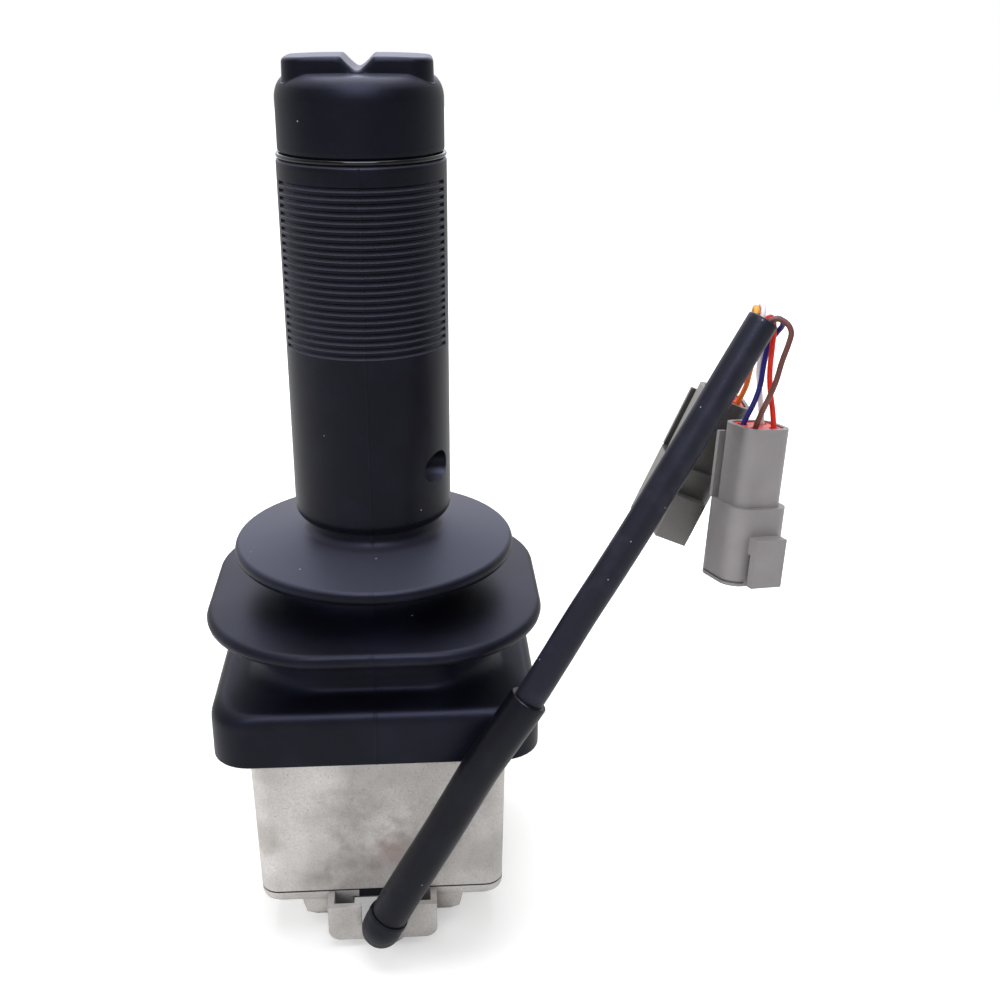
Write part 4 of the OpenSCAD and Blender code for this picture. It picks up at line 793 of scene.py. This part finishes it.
# Plug b is a darker copy of plug a's grey, as painted shade, with a large share of painted shade near the
# cable
plug_nylon = {"a": moulded_grey("grey_nylon", "#868283", "#908c8d", 0.1),
              "b": moulded_grey("painted_shade_grey_nylon", "#7c7a78", "#868482", 0.85)}
wedge_nylon = moulded_nylon("wedge_black_nylon", "#101114", "#18191e")
# Moulded silicone: a bright soft red that lets a little light in
silicone, silicone_place = finish_of("red_silicone", 0.38, specular=0.45)
silicone_cloud = patches(silicone, silicone_place, 2 * mm, 0.3, 0.7)
shade(silicone, Subsurface_Weight=0.1, Subsurface_Scale=1 * mm,
      Base_Color=blended(silicone, silicone_cloud, "#d8301c", "#ea4a30"))
for plug in "ab":
    shell = dressed(f"connector_{plug}_body", f"plug_{plug}_shell", 0.35 * mm)
    shell.data.materials.append(plug_nylon[plug])
    seal = dressed(f"connector_{plug}_seal", f"plug_{plug}_wire_seal", 0.3 * mm)
    seal.data.materials.append(silicone)
    wedge = dressed(f"connector_{plug}_wedge", f"plug_{plug}_wedge", 0.25 * mm)
    wedge.data.materials.append(wedge_nylon)
    for piece, slot_name in ((shell, "plug_grey"), (seal, "seal_red"), (wedge, "black_plastic")):
        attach(piece, "base")

# Small parts: screws, pivot, sensor, board, switch, gasket and the cover's plug. They are steel, plated
# steel, bronze, nylon, enamelled board and rubber, and keep the CAD's shapes.


def plain_metal(name, colour, pale, roughness):
    """Bare or plated metal: even, with faint cloudy patches and fine marks."""
    material, place = finish_of(name, roughness, metallic=1.0)
    cloud = patches(material, place, 2.5 * mm, 0.3, 0.75, 3.0)
    shade(material, Base_Color=blended(material, cloud, colour, pale))
    grain(material, patches(material, place, 0.3 * mm, 0.2, 0.8), 0.01 * mm)
    return material


zinc = plain_metal("zinc_plate", "#a4a6a8", "#c4c6c8", 0.35)
steel = plain_metal("bright_steel", "#8c8e92", "#a6a8ac", 0.3)
bronze = plain_metal("sintered_bronze", "#96703a", "#b08a4c", 0.5)
# Solder mask: a glossy green enamel, paler where copper lies under it
board_enamel, board_place = finish_of("green_solder_mask", 0.3, specular=0.5)
copper = patches(board_enamel, board_place, 1.5 * mm, 0.45, 0.6)
shade(board_enamel, Base_Color=blended(board_enamel, copper, "#1c5537", "#27663f"))
black_nylon = moulded_nylon("switch_black_nylon", "#131418", "#1b1c22")
# Moulded nylon dyed red, satin and faintly clouded
red_nylon, red_place = finish_of("red_switch_nylon", 0.4)
red_cloud = patches(red_nylon, red_place, 2 * mm, 0.3, 0.7)
shade(red_nylon, Base_Color=blended(red_nylon, red_cloud, "#b8331f", "#cf4630"))
gasket_rubber = moulded_rubber("gasket_rubber", "#1a1a1c", "#242427", 0.6, 0.3)
finishes = {
    "zinc": (zinc, ["bracket_screws", "board_screws", "cover_screws", "pivot_axle", "pivot_hub",
                    "stick_shaft", "grip_screws", "rocker_pin"]),
    "steel": (steel, ["pivot_bracket", "centring_spring", "axle_clips", "shaft_pin", "sensor_magnet"]),
    "bronze": (bronze, ["pivot_bushes"]),
    "board": (board_enamel, ["circuit_board"]),
    "black_plastic": (black_nylon, ["sensor_module", "magnet_holder", "switch_carrier", "rocker_switch"]),
    "red_plastic": (red_nylon, ["plunger_left", "plunger_right"]),
    "boot_rubber": (gasket_rubber, ["cover_gasket", "window_plug"])}
for slot_name, (material, nodes) in finishes.items():
    for node in nodes:
        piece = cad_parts[node]
        piece.data.materials.clear()
        piece.data.materials.append(material)

# Floor: a sheet of matt white paper under the lowest point. The camera sees its own white, which
# fades near the object so that the soft shadow shows, and metal and gloss see a dimmer one.
floor_z = cad_box[0].z
floor_half = 3
floor_corners = np.array([[[x, y, floor_z] for x in (-floor_half, floor_half)]
                          for y in (-floor_half, floor_half)])
floor = skin("floor", floor_corners, ring=False)
paper, paper_place = finish_of("white_paper", 0.9, specular=0.1)
seen = add(paper, "LightPath")
shine = add(paper, "Math", operation="MULTIPLY", _0=seen.outputs["Is Glossy Ray"], _1=0.3)
seen_white = add(paper, "Math", operation="MAXIMUM", _0=seen.outputs["Is Camera Ray"], _1=shine.outputs[0])
far = add(paper, "VectorMath", operation="LENGTH", _0=paper_place)
lift = add(paper, "MapRange", Value=far.outputs["Value"], From_Min=0.12, From_Max=0.6, To_Min=0.35)
glow = add(paper, "Math", operation="MULTIPLY", _0=seen_white.outputs[0], _1=lift.outputs[0])
paper_cloud = patches(paper, paper_place, 0.5, 0.4, 0.6)
shade(paper, Emission_Strength=glow.outputs[0], Emission_Color=(1, 1, 1, 1),
      Base_Color=blended(paper, paper_cloud, "#e6e6e6", "#eaeaea"))
floor.data.materials.append(paper)

# Surroundings: an even white room for the camera. Gloss sees it darker in front, where y is low, and
# matt surfaces get a plain level of light from it.
world = bpy.data.worlds.new("soft_tent")
world.use_nodes = True
bpy.context.scene.world = world
ray = add(world, "LightPath")
shown = add(world, "Math", operation="MAXIMUM", _0=ray.outputs["Is Camera Ray"],
            _1=ray.outputs["Is Transmission Ray"])
toward = add(world, "SeparateXYZ", Vector=add(world, "TexCoord").outputs["Generated"])
room = add(world, "MapRange", Value=toward.outputs["Y"], From_Min=-0.5, From_Max=0.35, To_Min=0.12)
gloss = add(world, "Math", operation="MULTIPLY", _0=ray.outputs["Is Glossy Ray"], _1=room.outputs[0])
bright = add(world, "Math", operation="MAXIMUM", _0=shown.outputs[0], _1=gloss.outputs[0])
level = add(world, "Math", operation="MAXIMUM", _0=bright.outputs[0], _1=0.45)
add(world, world.node_tree.nodes["Background"], Strength=level.outputs[0], Color=(1, 1, 1, 1))

# Lamps: broad and soft from above, the front, the left and the right. The brow and the back lamp are
# only mirrored, in the rims and the flanges. Each has its place, size, power and colour, whether it
# lights matt surfaces and whether gloss mirrors it.
lamps = {
    "lamp_top": ((0.0, 0.1, 0.95), 0.7, 8.0, "#ffffff", True, True),
    "lamp_brow": ((0.0, -0.6, 0.85), 0.6, 13.0, "#e2e5ff", False, True),
    "lamp_back": ((0.0, 1.1, 0.95), 1.4, 11.0, "#dcdfff", False, True),
    "lamp_front": ((-0.4, -0.92, 0.3), 0.6, 2.6, "#ffffff", True, False),
    "lamp_left": ((-0.85, -0.3, 0.4), 0.5, 3.4, "#ffffff", True, False),
    "lamp_right": ((0.85, -0.15, 0.35), 0.5, 1.6, "#ffffff", True, False)}
aim = Vector((0.02, 0, 0.07))
for name, (place, size, power, colour, lights, mirrored) in lamps.items():
    lamp = bpy.data.objects.new(name, bpy.data.lights.new(name, "AREA"))
    bpy.context.scene.collection.objects.link(lamp)
    lamp.data.size = size
    lamp.data.energy = power
    lamp.data.color = linear(colour)[:3]
    lamp.visible_camera = False
    lamp.visible_diffuse = lights
    lamp.visible_glossy = mirrored
    lamp.location = place
    lamp.rotation_euler = (aim - Vector(place)).to_track_quat("-Z", "Y").to_euler()
bpy.context.scene.view_settings.view_transform = "Standard"
